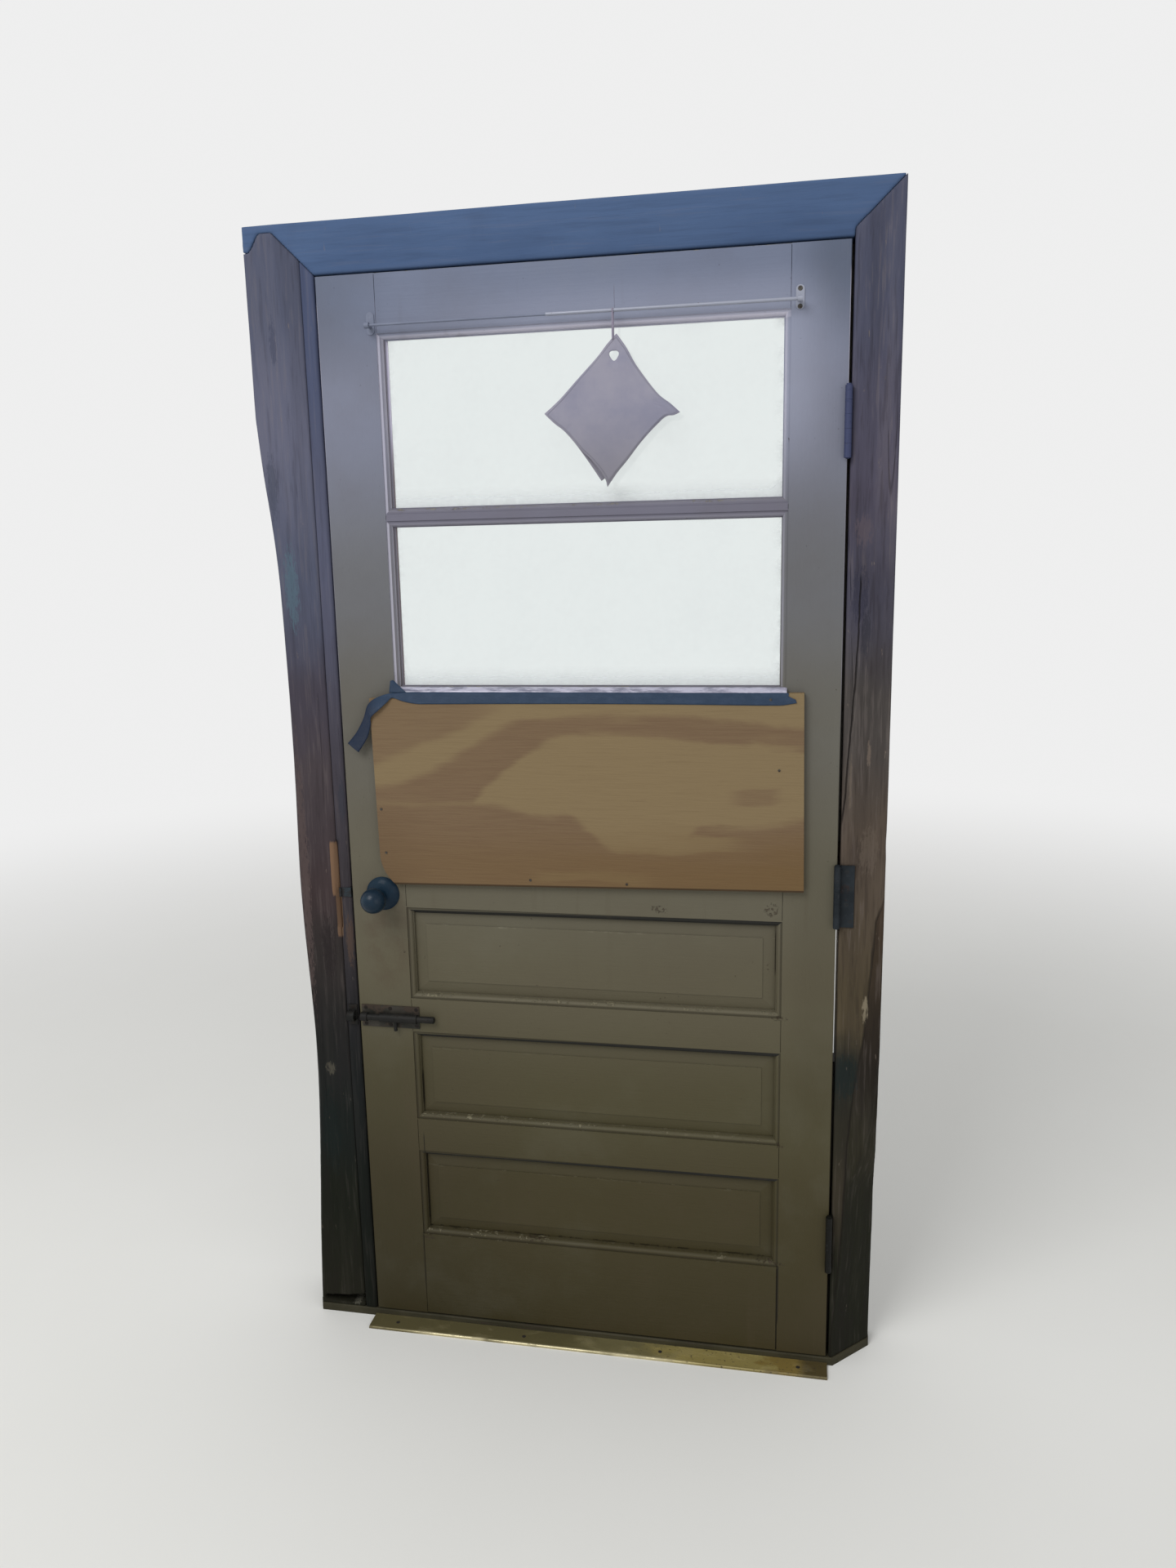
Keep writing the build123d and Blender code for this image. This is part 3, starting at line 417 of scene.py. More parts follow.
retimber(weathered("left_post", "Z", Vector((-1, 0, 0))), left_post_wood)
right_patches = [(0.508, 1.47, 0.016, 0.06, tone(46, 46, 60)),
                 (0.519, 1.41, 0.01, 0.05, tone(46, 46, 54)),
                 (0.512, 1.58, 0.018, 0.03, tone(84, 75, 82)),
                 (0.504, 0.6, 0.026, 0.05, tone(24, 34, 34)),
                 (0.536, 0.735, 0.006, 0.03, tone(140, 130, 110)),
                 (0.53, 1.2, 0.004, 0.03, tone(108, 96, 86)),
                 (0.5, 1.15, 0.003, 0.06, tone(100, 90, 80)),
                 (0.534, 1.03, 0.02, 0.05, tone(90, 80, 71))]
right_stops = [(0.0, tone(28, 29, 19)), (0.2, tone(30, 31, 22)), (0.35, tone(54, 49, 39)),
               (0.5, tone(45, 43, 34)), (0.61, tone(35, 38, 33)), (0.71, tone(77, 68, 52)),
               (1.03, tone(80, 70, 61)), (1.28, tone(70, 66, 64)), (1.48, tone(68, 67, 80)),
               (1.65, tone(76, 73, 88)), (2.0, tone(71, 74, 92))]
bark_line = [(0.057, 0.491), (0.187, 0.499), (0.33, 0.506), (0.47, 0.51), (0.6, 0.523), (0.69, 0.535),
             (0.81, 0.545), (0.9, 0.55), (0.97, 0.57)]
bark_stops = [(0.1, tone(27, 28, 19)), (0.3, tone(30, 31, 22)), (0.45, tone(42, 40, 30)),
              (0.62, tone(35, 31, 26)), (0.8, tone(56, 47, 37)), (0.95, tone(63, 52, 42))]
drying_split = [(1.075, 0.487), (1.128, 0.492), (1.22, 0.497), (1.333, 0.504), (1.432, 0.5075),
                (1.51, 0.509)]
right_post_wood = timber("right_post_wood", "Z", right_stops, right_patches, cracks=[drying_split],
                         wane=(bark_line, bark_stops))
retimber(weathered("right_post", "Z", Vector((1, 0, 0))), right_post_wood)

# Head beam. A bluer timber, mitred to both posts, with less grain showing under its stain.
head_wood = timber("head_wood", "X", [(2.0, tone(64, 83, 115)), (2.12, tone(72, 92, 125))], grit=0.3)
retimber(weathered("head_beam", "X", Vector((0, 0, 1))), head_wood)

# Jamb board. Grey-green paint over a sawn board, lost towards the foot.
jamb_stops = [(0.0, tone(17, 20, 14)), (0.3, tone(17, 21, 18)), (0.53, tone(24, 27, 27)),
              (0.95, tone(58, 54, 58)), (1.15, tone(66, 63, 71)), (1.6, tone(83, 86, 106)),
              (2.0, tone(68, 76, 101))]
jamb_patches = [(-0.445, 0.82, 0.01, 0.06, tone(80, 64, 54)), (-0.444, 1.1, 0.008, 0.05, tone(50, 52, 60))]
jamb_wood = timber("jamb_wood", "Z", jamb_stops, jamb_patches, fresh_wood, grit=0.5)
retimber(weathered("left_jamb", "Z", Vector((0, 0, 0)), 0.0008), jamb_wood)

# Stops. Planed strips nailed round the opening behind the leaf, with old paint.
stop_paint, at = finish("stop_paint", specular_ior_level=0.25)
figure, fibre = grain(at, "Z")
bare = at.drawn(1, 1, 0.4).cloud(30, 5, 0.6).step(0.6, 0.66)
colour = at.cloud(5).step(0.3, 0.7).blend(tone(84, 80, 76), tone(100, 96, 92))
colour = bare.blend(colour, tone(84, 68, 56))
colour = (at.along("Z").step(1.3, 0.3) * 0.75).blend(colour, tone(48, 44, 32))
coat(stop_paint, colour, 0.65, relief=figure - bare * 0.5, depth=0.001)
dress(stop_paint, "head_stop", "left_stop", "right_stop_lower", "right_stop_upper")

# Hinges. Pressed steel butts with turned pins, painted blue-black. The top one is nearly as
# blue as the leaf beside it, and the lowest is almost black.
dark_metal, at = finish("dark_metal", specular_ior_level=0.2)
rust = at.cloud(60, 5, 0.6).step(0.58, 0.68)
rubbed = at.cloud(110, 3).step(0.62, 0.7)
colour = at.cloud(25).step(0.35, 0.65).blend(tone(20, 26, 31), tone(32, 38, 43))
colour = (rust * 0.5).blend(colour, tone(50, 38, 34))
colour = at.along("Z").step(0.7, 0.4).blend(colour, tone(12, 12, 8))
colour = at.along("Z").step(1.2, 1.7).blend(colour, tone(56, 62, 91))
coat(dark_metal, (rubbed * 0.2).blend(colour, tone(60, 62, 66)), 0.55 + rust * 0.3, 0.12 - rust * 0.1,
     at.cloud(90, 4) + rust * 0.6, 0.0005)
dress(dark_metal, *[f"hinge_{place}_{part}" for place in ("top", "middle", "bottom")
                    for part in ("frame_leaf", "door_leaf", "pin")])

# Screws. Countersunk steel screws with dirt in the head, brown on the slide bolt. Those of
# the hinges and of the rod's left bracket went under the paint.
screw_metal, at = finish("screw_metal", specular_ior_level=0.2)
rust = at.cloud(170, 4).step(0.45, 0.6)
on_hinge = at.along("X").step(0.465, 0.475)
on_bracket = at.along("X").step(0.0, -0.1) * at.along("Z").step(1.9, 1.92)
on_bolt = at.along("Z").step(0.78, 0.76) * at.along("Z").step(0.6, 0.62)
colour = rust.blend(tone(78, 76, 72), tone(50, 42, 38))
colour = on_bolt.blend(colour, tone(26, 20, 16))
colour = on_bracket.blend(on_hinge.blend(colour, tone(30, 33, 36)), tone(108, 114, 132))
painted = (on_hinge + on_bracket + on_bolt).math("MINIMUM", 1.0)
coat(screw_metal, colour, 0.4 + rust * 0.35, (0.85 - rust * 0.6) * (1 - painted), at.cloud(260, 3), 0.0004)
dress(screw_metal, "frame_screws", "leaf_screws", "plywood_nails")

# Strike and latch. Bent and punched steel, blue-grey and brown with age.
latch_steel, at = finish("latch_steel", specular_ior_level=0.2)
rust = at.cloud(70, 5, 0.6).step(0.42, 0.62)
coat(latch_steel, rust.blend(tone(46, 56, 62), tone(40, 38, 38)), 0.45 + rust * 0.3, 0.45 - rust * 0.3,
     at.cloud(120, 4) + rust * 0.4, 0.0004)
dress(latch_steel, "strike_plate", "latch_case", "latch_bolt", "spindle")

# Leaf. Stiles and rails of softwood, tenoned together and painted many times in a greyed
# cream. The paint is cooler and brighter near the lights and browner at the foot; this change
# up the leaf is painted light and shade, painted daylight and haze near the lights and painted
# shade towards the foot. It carries handling dirt round the knob, runs, specks and chips.
knob_low, knob_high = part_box("inner_knob")
knob_middle = (knob_low + knob_high) / 2


def leaf_places(at):
    """Height, place across, and depth behind the leaf's face."""
    return at.along("Z"), at.along("X"), at.along("Y") - leaf_front


def leaf_ground(at, shade, tint):
    """The paint's colour with its painted light and shade up the leaf, painted shade in the top
    corners, and darker by the middle hinge and at the left foot.
    """
    height, across, _ = leaf_places(at)
    colour = stained(height, paint_and_light_stops)
    if tint:
        colour = (at.cloud(8) * 0.3 + 0.65).blend(colour, tint)
    # Painted shade in the leaf's top corners, under the head beam and beside the posts.
    corners = across.step(0.37, 0.46) * height.step(1.86, 2.0) * 0.5
    corners = corners + across.step(-0.26, -0.42) * height.step(1.84, 1.98) * 0.25
    colour = corners.blend(colour, tone(56, 66, 82))
    hinge_side = across.step(0.36, 0.44) * height.step(0.4, 0.6) * height.step(1.2, 0.9)
    colour = (hinge_side * 0.2).blend(colour, tone(50, 46, 28))
    left_foot = across.step(0.0, -0.43) * height.step(0.9, 0.25)
    colour = (left_foot * 0.38).blend(colour, tone(34, 30, 14))
    colour = (shade.step(0.42, 0.68) * 0.16).blend(colour, tone(76, 66, 54))
    return (shade.step(0.5, 0.3) * 0.06).blend(colour, tone(132, 132, 122))


def leaf_light(at, colour):
    """Painted light and shade by the way each face turns: lighter ledges, partly dust and partly
    painted highlight, painted shade on the upper bevels and undersides, and painted daylight on
    the edges of the lights.
    """
    height, across, sunk = leaf_places(at)
    normal = at.node("TexCoord", out="Normal")
    facing = normal.along("Z")
    # Up-facing ledges are lighter, partly dust and partly a painted highlight from above.
    ledge = facing.step(0.25, 0.8) * height.step(-0.5, 1.2)
    colour = (ledge * 0.1).blend(colour, tone(150, 146, 130))
    # Painted shade on the panels' upward-facing bevels.
    bevel_shade = facing.step(0.1, 0.17) * facing.step(0.3, 0.24)
    colour = (bevel_shade * 0.16).blend(colour, tone(58, 54, 42))
    # Painted shade on faces turned down, under the mouldings and rails.
    underside_shade = facing.step(-0.3, -0.75) * (height.step(1.8, 1.7) * 0.2 + height.step(1.5, 1.1) * 0.3)
    colour = underside_shade.blend(colour, tone(28, 27, 24))
    rightward = across.step(-0.35, 0.1)
    glow = height.step(light_top + 0.095, light_top + 0.005) * height.step(1.6, 1.82) * rightward
    glow = glow * (across - light_right).step(0.11, 0.0)
    colour = (glow * 0.3).blend(colour, tone(172, 176, 196))
    # Painted daylight: highlights on the mouldings' lips round the lights.
    lip = facing.step(-0.1, -0.6) * (height.step(1.75, 1.8) * (rightward + 0.6) + 1)
    lip = lip + sunk.step(0.001, 0.002) * height.step(light_top - 0.003, light_top) * (rightward + 0.3)
    lip = lip + abs(normal.along("X")).step(0.3, 0.8) * (height.step(1.68, 1.8) + 1)
    lip = lip * height.step(1.2, 1.36) * height.step(2.0, 1.98)
    return (lip * 0.3).blend(colour, tone(186, 184, 200))


def leaf_lines(at, colour, upright, rails):
    """Painted shade in the quirk and under these rails, painted light and shade down the lights'
    left moulding, dark lines at the joints and gaps, and dirt with painted shade at the bottom
    rail's top.
    """
    height, across, sunk = leaf_places(at)
    # Painted shade in the quirk at the flat's edge.
    quirk = sunk.step(0.0012, 0.0018) * sunk.step(0.0028, 0.0021)
    colour = (quirk * height.step(1.0, 0.95) * 0.5).blend(colour, tone(34, 30, 20))
    beside = (across - light_left).step(-0.0113, -0.0108) * (across - light_left).step(0.0006, 0.0002)
    beside = beside * height.step(1.2, 1.3) * height.step(2.0, 1.98)
    # Painted highlights and painted shade of daylight across the moulding's profile.
    for near, far, share, line in daylight_lip_lines if upright else ():
        drawn = sunk.step(near - 0.0003, near) * sunk.step(far + 0.0003, far) * beside
        colour = (drawn * share).blend(colour, line)
    for rail in rails:
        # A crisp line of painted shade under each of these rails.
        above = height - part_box(rail)[0].z
        slant = 0.3 - across
        line = (0.011 - slant * 0.008 - above).step(0.0, 0.0009)
        line = line * (slant * 0.0055 + above).step(-0.0006, 0.0003) * sunk.step(0.0004, 0.0014)
        colour = (line * 0.95).blend(colour, tone(30, 30, 28))
        ridge = abs(above + 0.0245 + at.cloud(60) * 0.002).step(0.0022, 0.0006)
        scuff = at.drawn(0.35, 1, 1).cloud(70, 4, 0.65).step(0.52, 0.6)
        share = 0.3 if rail == "lock_rail" else 0.08
        colour = (ridge * scuff * share).blend(colour, tone(128, 124, 108))
    for joint, depth in zip(stile_joints, (0.5, 0.9)):
        groove = abs(across - joint).step(0.0034, 0.0026) * sunk.step(0.0003, 0.001) * depth
        gap = abs(across - joint).step(0.003, 0.0012) * height.step(0.07, 0.095) * (depth - 0.1)
        colour = (groove.math("MAXIMUM", gap) * height.step(0.206, 0.2)).blend(colour, tone(30, 26, 18))
    for x, low, high in open_gaps:
        gap = (across - x).step(-0.0006, 0.0) * (across - x).step(0.0026, 0.0014)
        gap = gap * height.step(low, low + 0.02) * height.step(high, high - 0.02)
        colour = (gap * 0.8).blend(colour, tone(22, 19, 10))
    # Dirt caked along the bottom rail's top, darkened further as painted shade in that corner.
    caked_dirt_and_shade = abs(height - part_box("bottom_rail")[1].z - at.drawn(1, 0, 0).cloud(60, 4, 0.7) * 0.006 + 0.001)
    caked_dirt_and_shade = caked_dirt_and_shade.step(0.0022, 0.0008) * at.drawn(1, 0, 0).cloud(28, 4, 0.6).step(0.46, 0.54)
    caked_dirt_and_shade = caked_dirt_and_shade * (across - light_left).step(-0.0005, 0.0005)
    caked_dirt_and_shade = caked_dirt_and_shade * (across - light_right).step(0.0005, -0.0005)
    return (caked_dirt_and_shade * 0.75).blend(colour, tone(22, 19, 10))


def leaf_paint(name, axis, rails=(), tint=None):
    """The leaf's paint, with its painted light and shade, brushed along the member, with hand dirt,
    runs, chips and flakes. A dark line of painted shade lies under each of these rails."""
    made, at = finish(name, specular_ior_level=0.2)
    height, across, _ = leaf_places(at)
    shade = at.cloud(3.2, 5, 0.6)
    colour = leaf_light(at, leaf_ground(at, shade, tint))
    colour = leaf_lines(at, colour, axis == "Z", rails)
    side = (across - knob_middle.x) / 0.05
    drop = (height - knob_middle.z + 0.07) / 0.12
    hand = (side * side + drop * drop).step(1.6, 0.2) * at.cloud(22, 5, 0.6).step(0.35, 0.7)
    colour = (hand * 0.4).blend(colour, tone(74, 60, 48))
    run = at.drawn(1, 1, 0.07).cloud(26, 3, 0.5).step(0.6, 0.7) * at.cloud(2.5).step(0.45, 0.62)
    colour = (run * 0.2).blend(colour, tone(70, 60, 44))
    ledge = at.node("TexCoord", out="Normal").along("Z").step(0.3, 0.6)
    chip = at.cloud(75, 5, 0.7).step(0.54, 0.6) * ledge * at.cloud(7).step(0.42, 0.54)
    colour = (chip * 0.6).blend(colour, tone(126, 120, 98))
    hairline = abs(across + at.cloud(30, 3) * 0.004 - rail_crack.x - 0.002).step(0.0009, 0.0003)
    hairline = hairline * abs(height - rail_crack.z).step(0.024, 0.018)
    colour = (hairline * 0.6).blend(colour, tone(92, 92, 108))
    flaked = at.cloud(190, 2).step(0.725, 0.75) * at.cloud(9).step(0.5, 0.6)
    for x, z, half_width, half_height in paint_flakes:
        near = patch(at, x, z, half_width, half_height) * at.cloud(170, 3, 0.6).step(0.5, 0.58)
        flaked = flaked.math("MAXIMUM", near)
    colour = (flaked * 0.6).blend(colour, tone(54, 42, 32))
    stroke = {"X": (0.04, 1, 1), "Z": (1, 1, 0.04)}[axis]
    brush = at.drawn(*stroke).cloud(220, 3, 0.6)
    coat(made, colour, 0.48 + shade * 0.2 + hand * 0.1,
         relief=brush * 0.5 + at.cloud(40, 4) * 0.8 - flaked - chip * 1.5, depth=0.0007)
    return made


# Where things are on the leaf: a hairline over the hanging loop, the edges of the lights, the
# joints' lines, and open gaps beside the panels. Thin bright and dark lines of painted
# highlight and painted shade, daylight on the moulding, run down the moulding at the lights'
# left side, each with its depth from and to, its weight and its colour. The flakes, by the
# lock rail's lower edge and at the mouldings' ends, are (x, z, half width, half height).
rail_crack = Vector((0.096, 0, 1.967))
leaf_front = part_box("lock_stile")[0].y
lock_flat, hinge_flat = 0.1075, 0.094
stile_joints = (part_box("lock_stile")[0].x + lock_flat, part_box("hinge_stile")[1].x - hinge_flat)
light_left, light_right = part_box("lock_stile")[1].x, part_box("hinge_stile")[0].x
light_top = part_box("top_rail")[0].z
daylight_lip_lines = [(0.0018, 0.0026, 0.6, tone(186, 184, 200)), (0.0029, 0.005, 0.3, tone(74, 68, 76)),
             (0.0068, 0.0098, 0.5, tone(186, 184, 198)), (0.0099, 0.0112, 0.7, tone(84, 76, 82))]
open_gaps = [(light_left, 0.215, 0.43), (light_left, 0.47, 0.56), (light_right - 0.002, 0.78, 0.88)]
# The paint's colour up the leaf: painted daylight and haze near the lights, painted shade towards the foot.
paint_and_light_stops = [(0.0, tone(54, 48, 26)), (0.3, tone(61, 55, 33)), (0.5, tone(72, 67, 46)),
               (0.75, tone(87, 82, 65)), (0.95, tone(93, 89, 75)), (1.25, tone(94, 92, 85)),
               (1.5, tone(98, 99, 103)), (1.8, tone(114, 118, 135)), (2.05, tone(102, 110, 131))]
paint_flakes = [(0.163, 0.908, 0.016, 0.008), (0.368, 0.915, 0.014, 0.014), (-0.334, 0.802, 0.003, 0.01),
                (-0.313, 0.193, 0.02, 0.005), (-0.09, 0.208, 0.02, 0.006), (0.373, 0.208, 0.03, 0.006),
                (0.383, 0.708, 0.018, 0.005), (0.387, 0.455, 0.016, 0.005), (-0.31, 0.2, 0.01, 0.004)]
paint_up = leaf_paint("leaf_paint_up", "Z")
paint_across = leaf_paint("leaf_paint_across", "X", ("lock_rail", "upper_mid_rail", "lower_mid_rail"))
paint_bar = leaf_paint("leaf_paint_bar", "X", tint=tone(104, 102, 117))
dress(paint_up, "lock_stile", "hinge_stile")
dress(paint_bar, "upper_muntin", "lower_muntin")
dress(paint_across, "top_rail", "lock_rail", "upper_mid_rail", "lower_mid_rail", "bottom_rail",
      "lower_panel", "middle_panel", "upper_panel")

# Panes and putty. Thin drawn glass bedded in putty, with a bloom of dust that is thickest
# along the lower edge of each pane. Bedding laps over the glass at its left side.
for name in ("upper_pane", "lower_pane"):
    low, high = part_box(name)
    glass, at = finish("glass_" + name, base_color=tone(244, 250, 249), roughness=0.03, ior=1.5,
                       transmission_weight=1.0)
    foot = at.along("Z").step(low.z + 0.045, low.z + 0.006)
    aside = at.along("X")
    edge = aside.step(low.x + 0.03, low.x + 0.004) + aside.step(high.x - 0.03, high.x - 0.004)
    film = at.cloud(7, 6, 0.65).step(0.35, 0.75) * 0.07
    share = foot * (0.25 + at.cloud(22, 5, 0.65) * 0.5) + film
    share = share + edge * at.cloud(30, 5, 0.6).step(0.4, 0.7) * 0.3
    lap = (aside - light_left).step(0.0042, 0.0034)
    share = share.math("MAXIMUM", lap)
    tree = glass.node_tree
    clear = Shade(tree, tree.nodes["Principled BSDF"].outputs[0])
    bedding = (aside - light_left).step(0.0012, 0.002).blend(tone(150, 146, 158), tone(104, 94, 98))
    # The bedding high on the upper light is painted lighter with daylight.
    bedding = at.along("Z").step(1.68, 1.8).blend(bedding, tone(190, 186, 206))
    bedding = lap.blend(tone(226, 230, 232), bedding)
    bloom = at.node("BsdfPrincipled", {"Base Color": bedding, "Roughness": 0.9})
    both = at.node("MixShader", {0: share, 1: clear, 2: bloom})
    tree.links.new(both.socket, tree.nodes["Material Output"].inputs["Surface"])
    dress(glass, name)
putty_mix, at = finish("putty_mix", specular_ior_level=0.2)
coat(putty_mix, at.cloud(45, 5).step(0.35, 0.65).blend(tone(120, 114, 116), tone(140, 134, 136)), 0.8,
     relief=at.cloud(70, 5), depth=0.0012)
dress(putty_mix, "upper_putty", "lower_putty")

# Plywood. A rotary-cut sheet nailed over the lowest light, a little askew. Its face shows the
# wide nested figure of peeled softwood, and its edge shows the plies.
sheet_low, sheet_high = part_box("plywood_sheet")
sheet_size = sheet_high - sheet_low
sheet_tilt = math.radians(0.83)
ply_wood, at = finish("ply_wood", specular_ior_level=0.2)
across = (at.along("X") - sheet_low.x) / sheet_size.x
sway = (at.drawn(1, 1, 2.5).cloud(3.4, 4, 0.55, 0.6) - 0.5) * 0.2
feather = (at.drawn(0.3, 1, 2.4).cloud(16, 4, 0.6) - 0.5) * 0.16
rise = (at.along("Z") - sheet_low.z) / sheet_size.z + (1 - across) * 0.02
rise = rise + (sway + feather) * (across * 0.5 + 0.5)
heart_top = across.step(0.24, 0.5) ** 0.5 * 0.35 - across.step(0.6, 0.85) * 0.06 + 0.46
heart_foot = (0.44 - across.step(0.26, 0.4) * 0.05 - across.step(0.45, 0.6) * 0.17
              + across.step(0.7, 0.78) * 0.13)
arc_top = across.step(0.02, 0.42) * 0.34 - across.step(0.6, 1.0) * 0.05 + 0.55
heart = (heart_top - rise).step(-0.02, 0.03) * (rise - heart_foot).step(-0.02, 0.03)
dark = (arc_top - rise).step(-0.03, 0.03) * (1 - heart)
corner_streak = (rise - across * 0.95 - 0.64).step(-0.03, 0.03) * (1 - across.step(0.22, 0.36))
dark = dark.math("MAXIMUM", corner_streak * 0.8)
tongue = abs(rise - 0.27).step(0.045, 0.02) * across.step(0.6, 0.68) * across.step(0.9, 0.8)
foot_streak = abs(rise - 0.095).step(0.04, 0.015) * across.step(0.36, 0.42) * across.step(0.7, 0.6)
knot = abs(rise - 0.5).step(0.06, 0.02) * across.step(0.82, 0.87) * across.step(0.96, 0.92)
dark = dark * (1 - tongue * 0.9) * (1 - foot_streak * 0.8)
dark = dark.math("MAXIMUM", knot * 0.7)
fibre = at.drawn(0.05, 1, 1).cloud(240, 3, 0.6)
dark = dark * (0.85 + fibre.step(0.4, 0.6) * 0.15)
colour = dark.blend(tone(121, 104, 76), tone(106, 86, 65))
colour = (rise.step(0.4, 0.1) * (across * 0.5 + 0.35)).blend(colour, tone(100, 78, 48))
colour = (across.step(0.15, 0.0) * rise.step(0.5, 0.3) * 0.5).blend(colour, tone(96, 76, 54))
# A painted shadow line along the sheet's lower edge.
foot_shadow = at.along("Z") - sheet_low.z - across * sheet_size.x * math.tan(sheet_tilt)
colour = (foot_shadow.step(0.0036, 0.002) * 0.85).blend(colour, tone(46, 34, 20))
colour = (fibre.step(0.5, 0.75) * 0.15).blend(colour, tone(92, 74, 53))
facing = abs(at.node("TexCoord", out="Normal").along("Y")).step(0.4, 0.6)
plies = (at.along("Y") * 2600).math("SINE").step(-0.3, 0.3)
edge = (plies * 0.8).blend(tone(132, 110, 77), tone(82, 63, 44))
coat(ply_wood, facing.blend(edge, colour), 0.62 + fibre * 0.12, relief=fibre + dark * 0.3, depth=0.0006)
dress(ply_wood, "plywood_sheet")

# Knob set. Cast knobs on domed rosettes, lacquered near-black with a blue cast, worn
# a little brighter where a hand closes on them.
knob_metal, at = finish("knob_metal", specular_ior_level=0.15, coat_weight=0.1, coat_roughness=0.2)
handled = at.cloud(40, 4).step(0.45, 0.7)
dull = at.along("Y").step(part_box("inner_rosette")[0].y - 0.001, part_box("inner_rosette")[0].y)
coat(knob_metal, (handled * 0.5).blend(tone(14, 33, 48), tone(27, 48, 62)),
     0.3 + handled * 0.14 + dull * 0.4, 0.0, at.cloud(160, 3), 0.0002)
dress(knob_metal, "inner_knob", "outer_knob", "inner_rosette", "outer_rosette")

# Slide bolt. A pressed steel plate with its barrel and round bar, grey with handling and
# rusted along the upper edge and round the screws.
plate_low, plate_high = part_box("slide_bolt_plate")
bolt_metal, at = finish("bolt_metal", specular_ior_level=0.15)
upper = at.along("Z").step(plate_high.z - 0.016, plate_high.z - 0.002)
rust = (at.cloud(75, 5, 0.65) + upper * 0.16).step(0.54, 0.68)
colour = at.cloud(30).step(0.35, 0.65).blend(tone(42, 42, 38), tone(60, 57, 52))
colour = (rust * 0.6).blend(colour, tone(66, 54, 46))
barrel = at.along("Y").step(plate_high.y - 0.003, plate_high.y - 0.005)
barrel = barrel.math("MAXIMUM", at.along("X").step(plate_low.x, plate_low.x - 0.002))
colour = (barrel * 0.8).blend(colour, tone(24, 24, 24))
coat(bolt_metal, colour, 0.45 + rust * 0.3 + barrel * 0.1, 0.35 - rust * 0.25 - barrel * 0.1,
     at.cloud(110, 4) + rust * 0.5, 0.0005)
dress(bolt_metal, "slide_bolt_plate", "slide_bar", "bolt_keeper")

# Curtain rod. Two thin steel tubes, one in the other, in small pressed brackets. The right
# ones are off-white enamel, and the left ones went under a coat of the leaf's paint.
rod_metal, at = finish("rod_metal", specular_ior_level=0.5)
speck = at.cloud(120, 4).step(0.66, 0.72)
coat(rod_metal, speck.blend(at.cloud(12).blend(tone(128, 132, 148), tone(150, 154, 168)), tone(96, 80, 70)),
     0.32 + speck * 0.4, 0.1, at.cloud(60, 3) + speck, 0.0003)
dress(rod_metal, "rod_tube", "rod_bracket_right")
painted_rod, at = finish("painted_rod", specular_ior_level=0.2)
coat(painted_rod, at.cloud(20).step(0.35, 0.7).blend(tone(106, 112, 130), tone(114, 120, 138)), 0.55,
     relief=at.cloud(90, 4), depth=0.0004)
dress(painted_rod, "rod_inner", "rod_bracket_left")

# Tape. A strip of navy cloth tape holds the sheet's top edge. Its upper half is folded back
# on to the glazing bar, where it shines, its sheen painted into a lighter colour, and its left
# end has come off and hangs in a twist.


def smooth(points, share):
    """A point on the smooth line through these points, at a share of the way along their list."""
    place = max(0.0, min(share, 1.0)) * (len(points) - 1)
    k = min(int(place), len(points) - 2)
    t = place - k
    before, one, two, after = (Vector(points[max(0, min(j, len(points) - 1))]) for j in range(k - 1, k + 3))
    return 0.5 * (2 * one + (two - before) * t + (2 * before - 5 * one + 4 * two - after) * t * t
                  + (3 * one - before - 3 * two + after) * t ** 3)


def leaf_of(shape, long, wide, place, material_index=0):
    """A flat piece of so many cells each way, its corners and cells put where place(u, v) says."""
    cells = bmesh.ops.create_grid(shape, x_segments=long, y_segments=wide, size=0.5)["verts"]
    for vert in cells:
        vert.co = place(vert.co.x + 0.5, vert.co.y + 0.5)
    for face in {face for vert in cells for face in vert.link_faces}:
        face.material_index = material_index
        face.smooth = True


# Its two long edges and its fold are in millimetres right of, in front of and above the
# sheet's top left corner.
corner = Vector((sheet_low.x, sheet_low.y, sheet_high.z))
tape_skin = 0.0004
upper_edge = [(-45, 5, -95), (-27, 3, -74), (-12, 3, -48), (-3, 4, -25), (9, 4, -13), (25, 2, -6),
              (40, 1, -2), (58, 0.6, 0.5), (90, 0.6, 0.5), (120, 0.6, 0.5), (260, 0.6, 0.5),
              (420, 0.6, 0.6), (580, 0.6, 0.4), (700, 0.6, 0.5), (740, 0.6, 0.5), (763, 0.7, 0.3),
              (764, 0.9, -5), (776, 1.6, -11)]
lower_edge = [(-25, 4, -112), (-6, 4, -84), (1, 2, -60), (4, 5, -46), (20, 6, -32), (36, 4, -18),
              (46, 2, -10), (64, 0.9, -16), (90, 0.6, -21), (120, 0.6, -21.5), (260, 0.6, -20.5),
              (420, 0.6, -20), (580, 0.6, -20.5), (700, 0.6, -21.5), (740, 0.6, -21.5),
              (755, 0.7, -21), (765, 0.9, -19.5), (778, 1.4, -17)]
fold_left, fold_right = 46, 761
millimetre = 0.001


def on_sheet(point):
    """A point given in millimetres right of, in front of and above the sheet's top left corner."""
    return corner + Vector((point[0], -point[1], point[2])) * millimetre


def strip_place(u, v):
    point = on_sheet(smooth(lower_edge, u).lerp(smooth(upper_edge, u), v))
    crease = (noise.noise(Vector((point.x * 55, 0, point.z * 130)))
              + 0.6 * noise.noise(Vector((point.x * 170, 4, point.z * 60))))
    loose = 1.0 if u < 0.42 or u > 0.85 else 0.35
    bulge = 0.9 * math.sin(math.pi * v) if u < 0.36 else 0
    point.y -= millimetre * (0.25 + 0.45 * loose * max(-0.5, crease) + bulge)
    return point


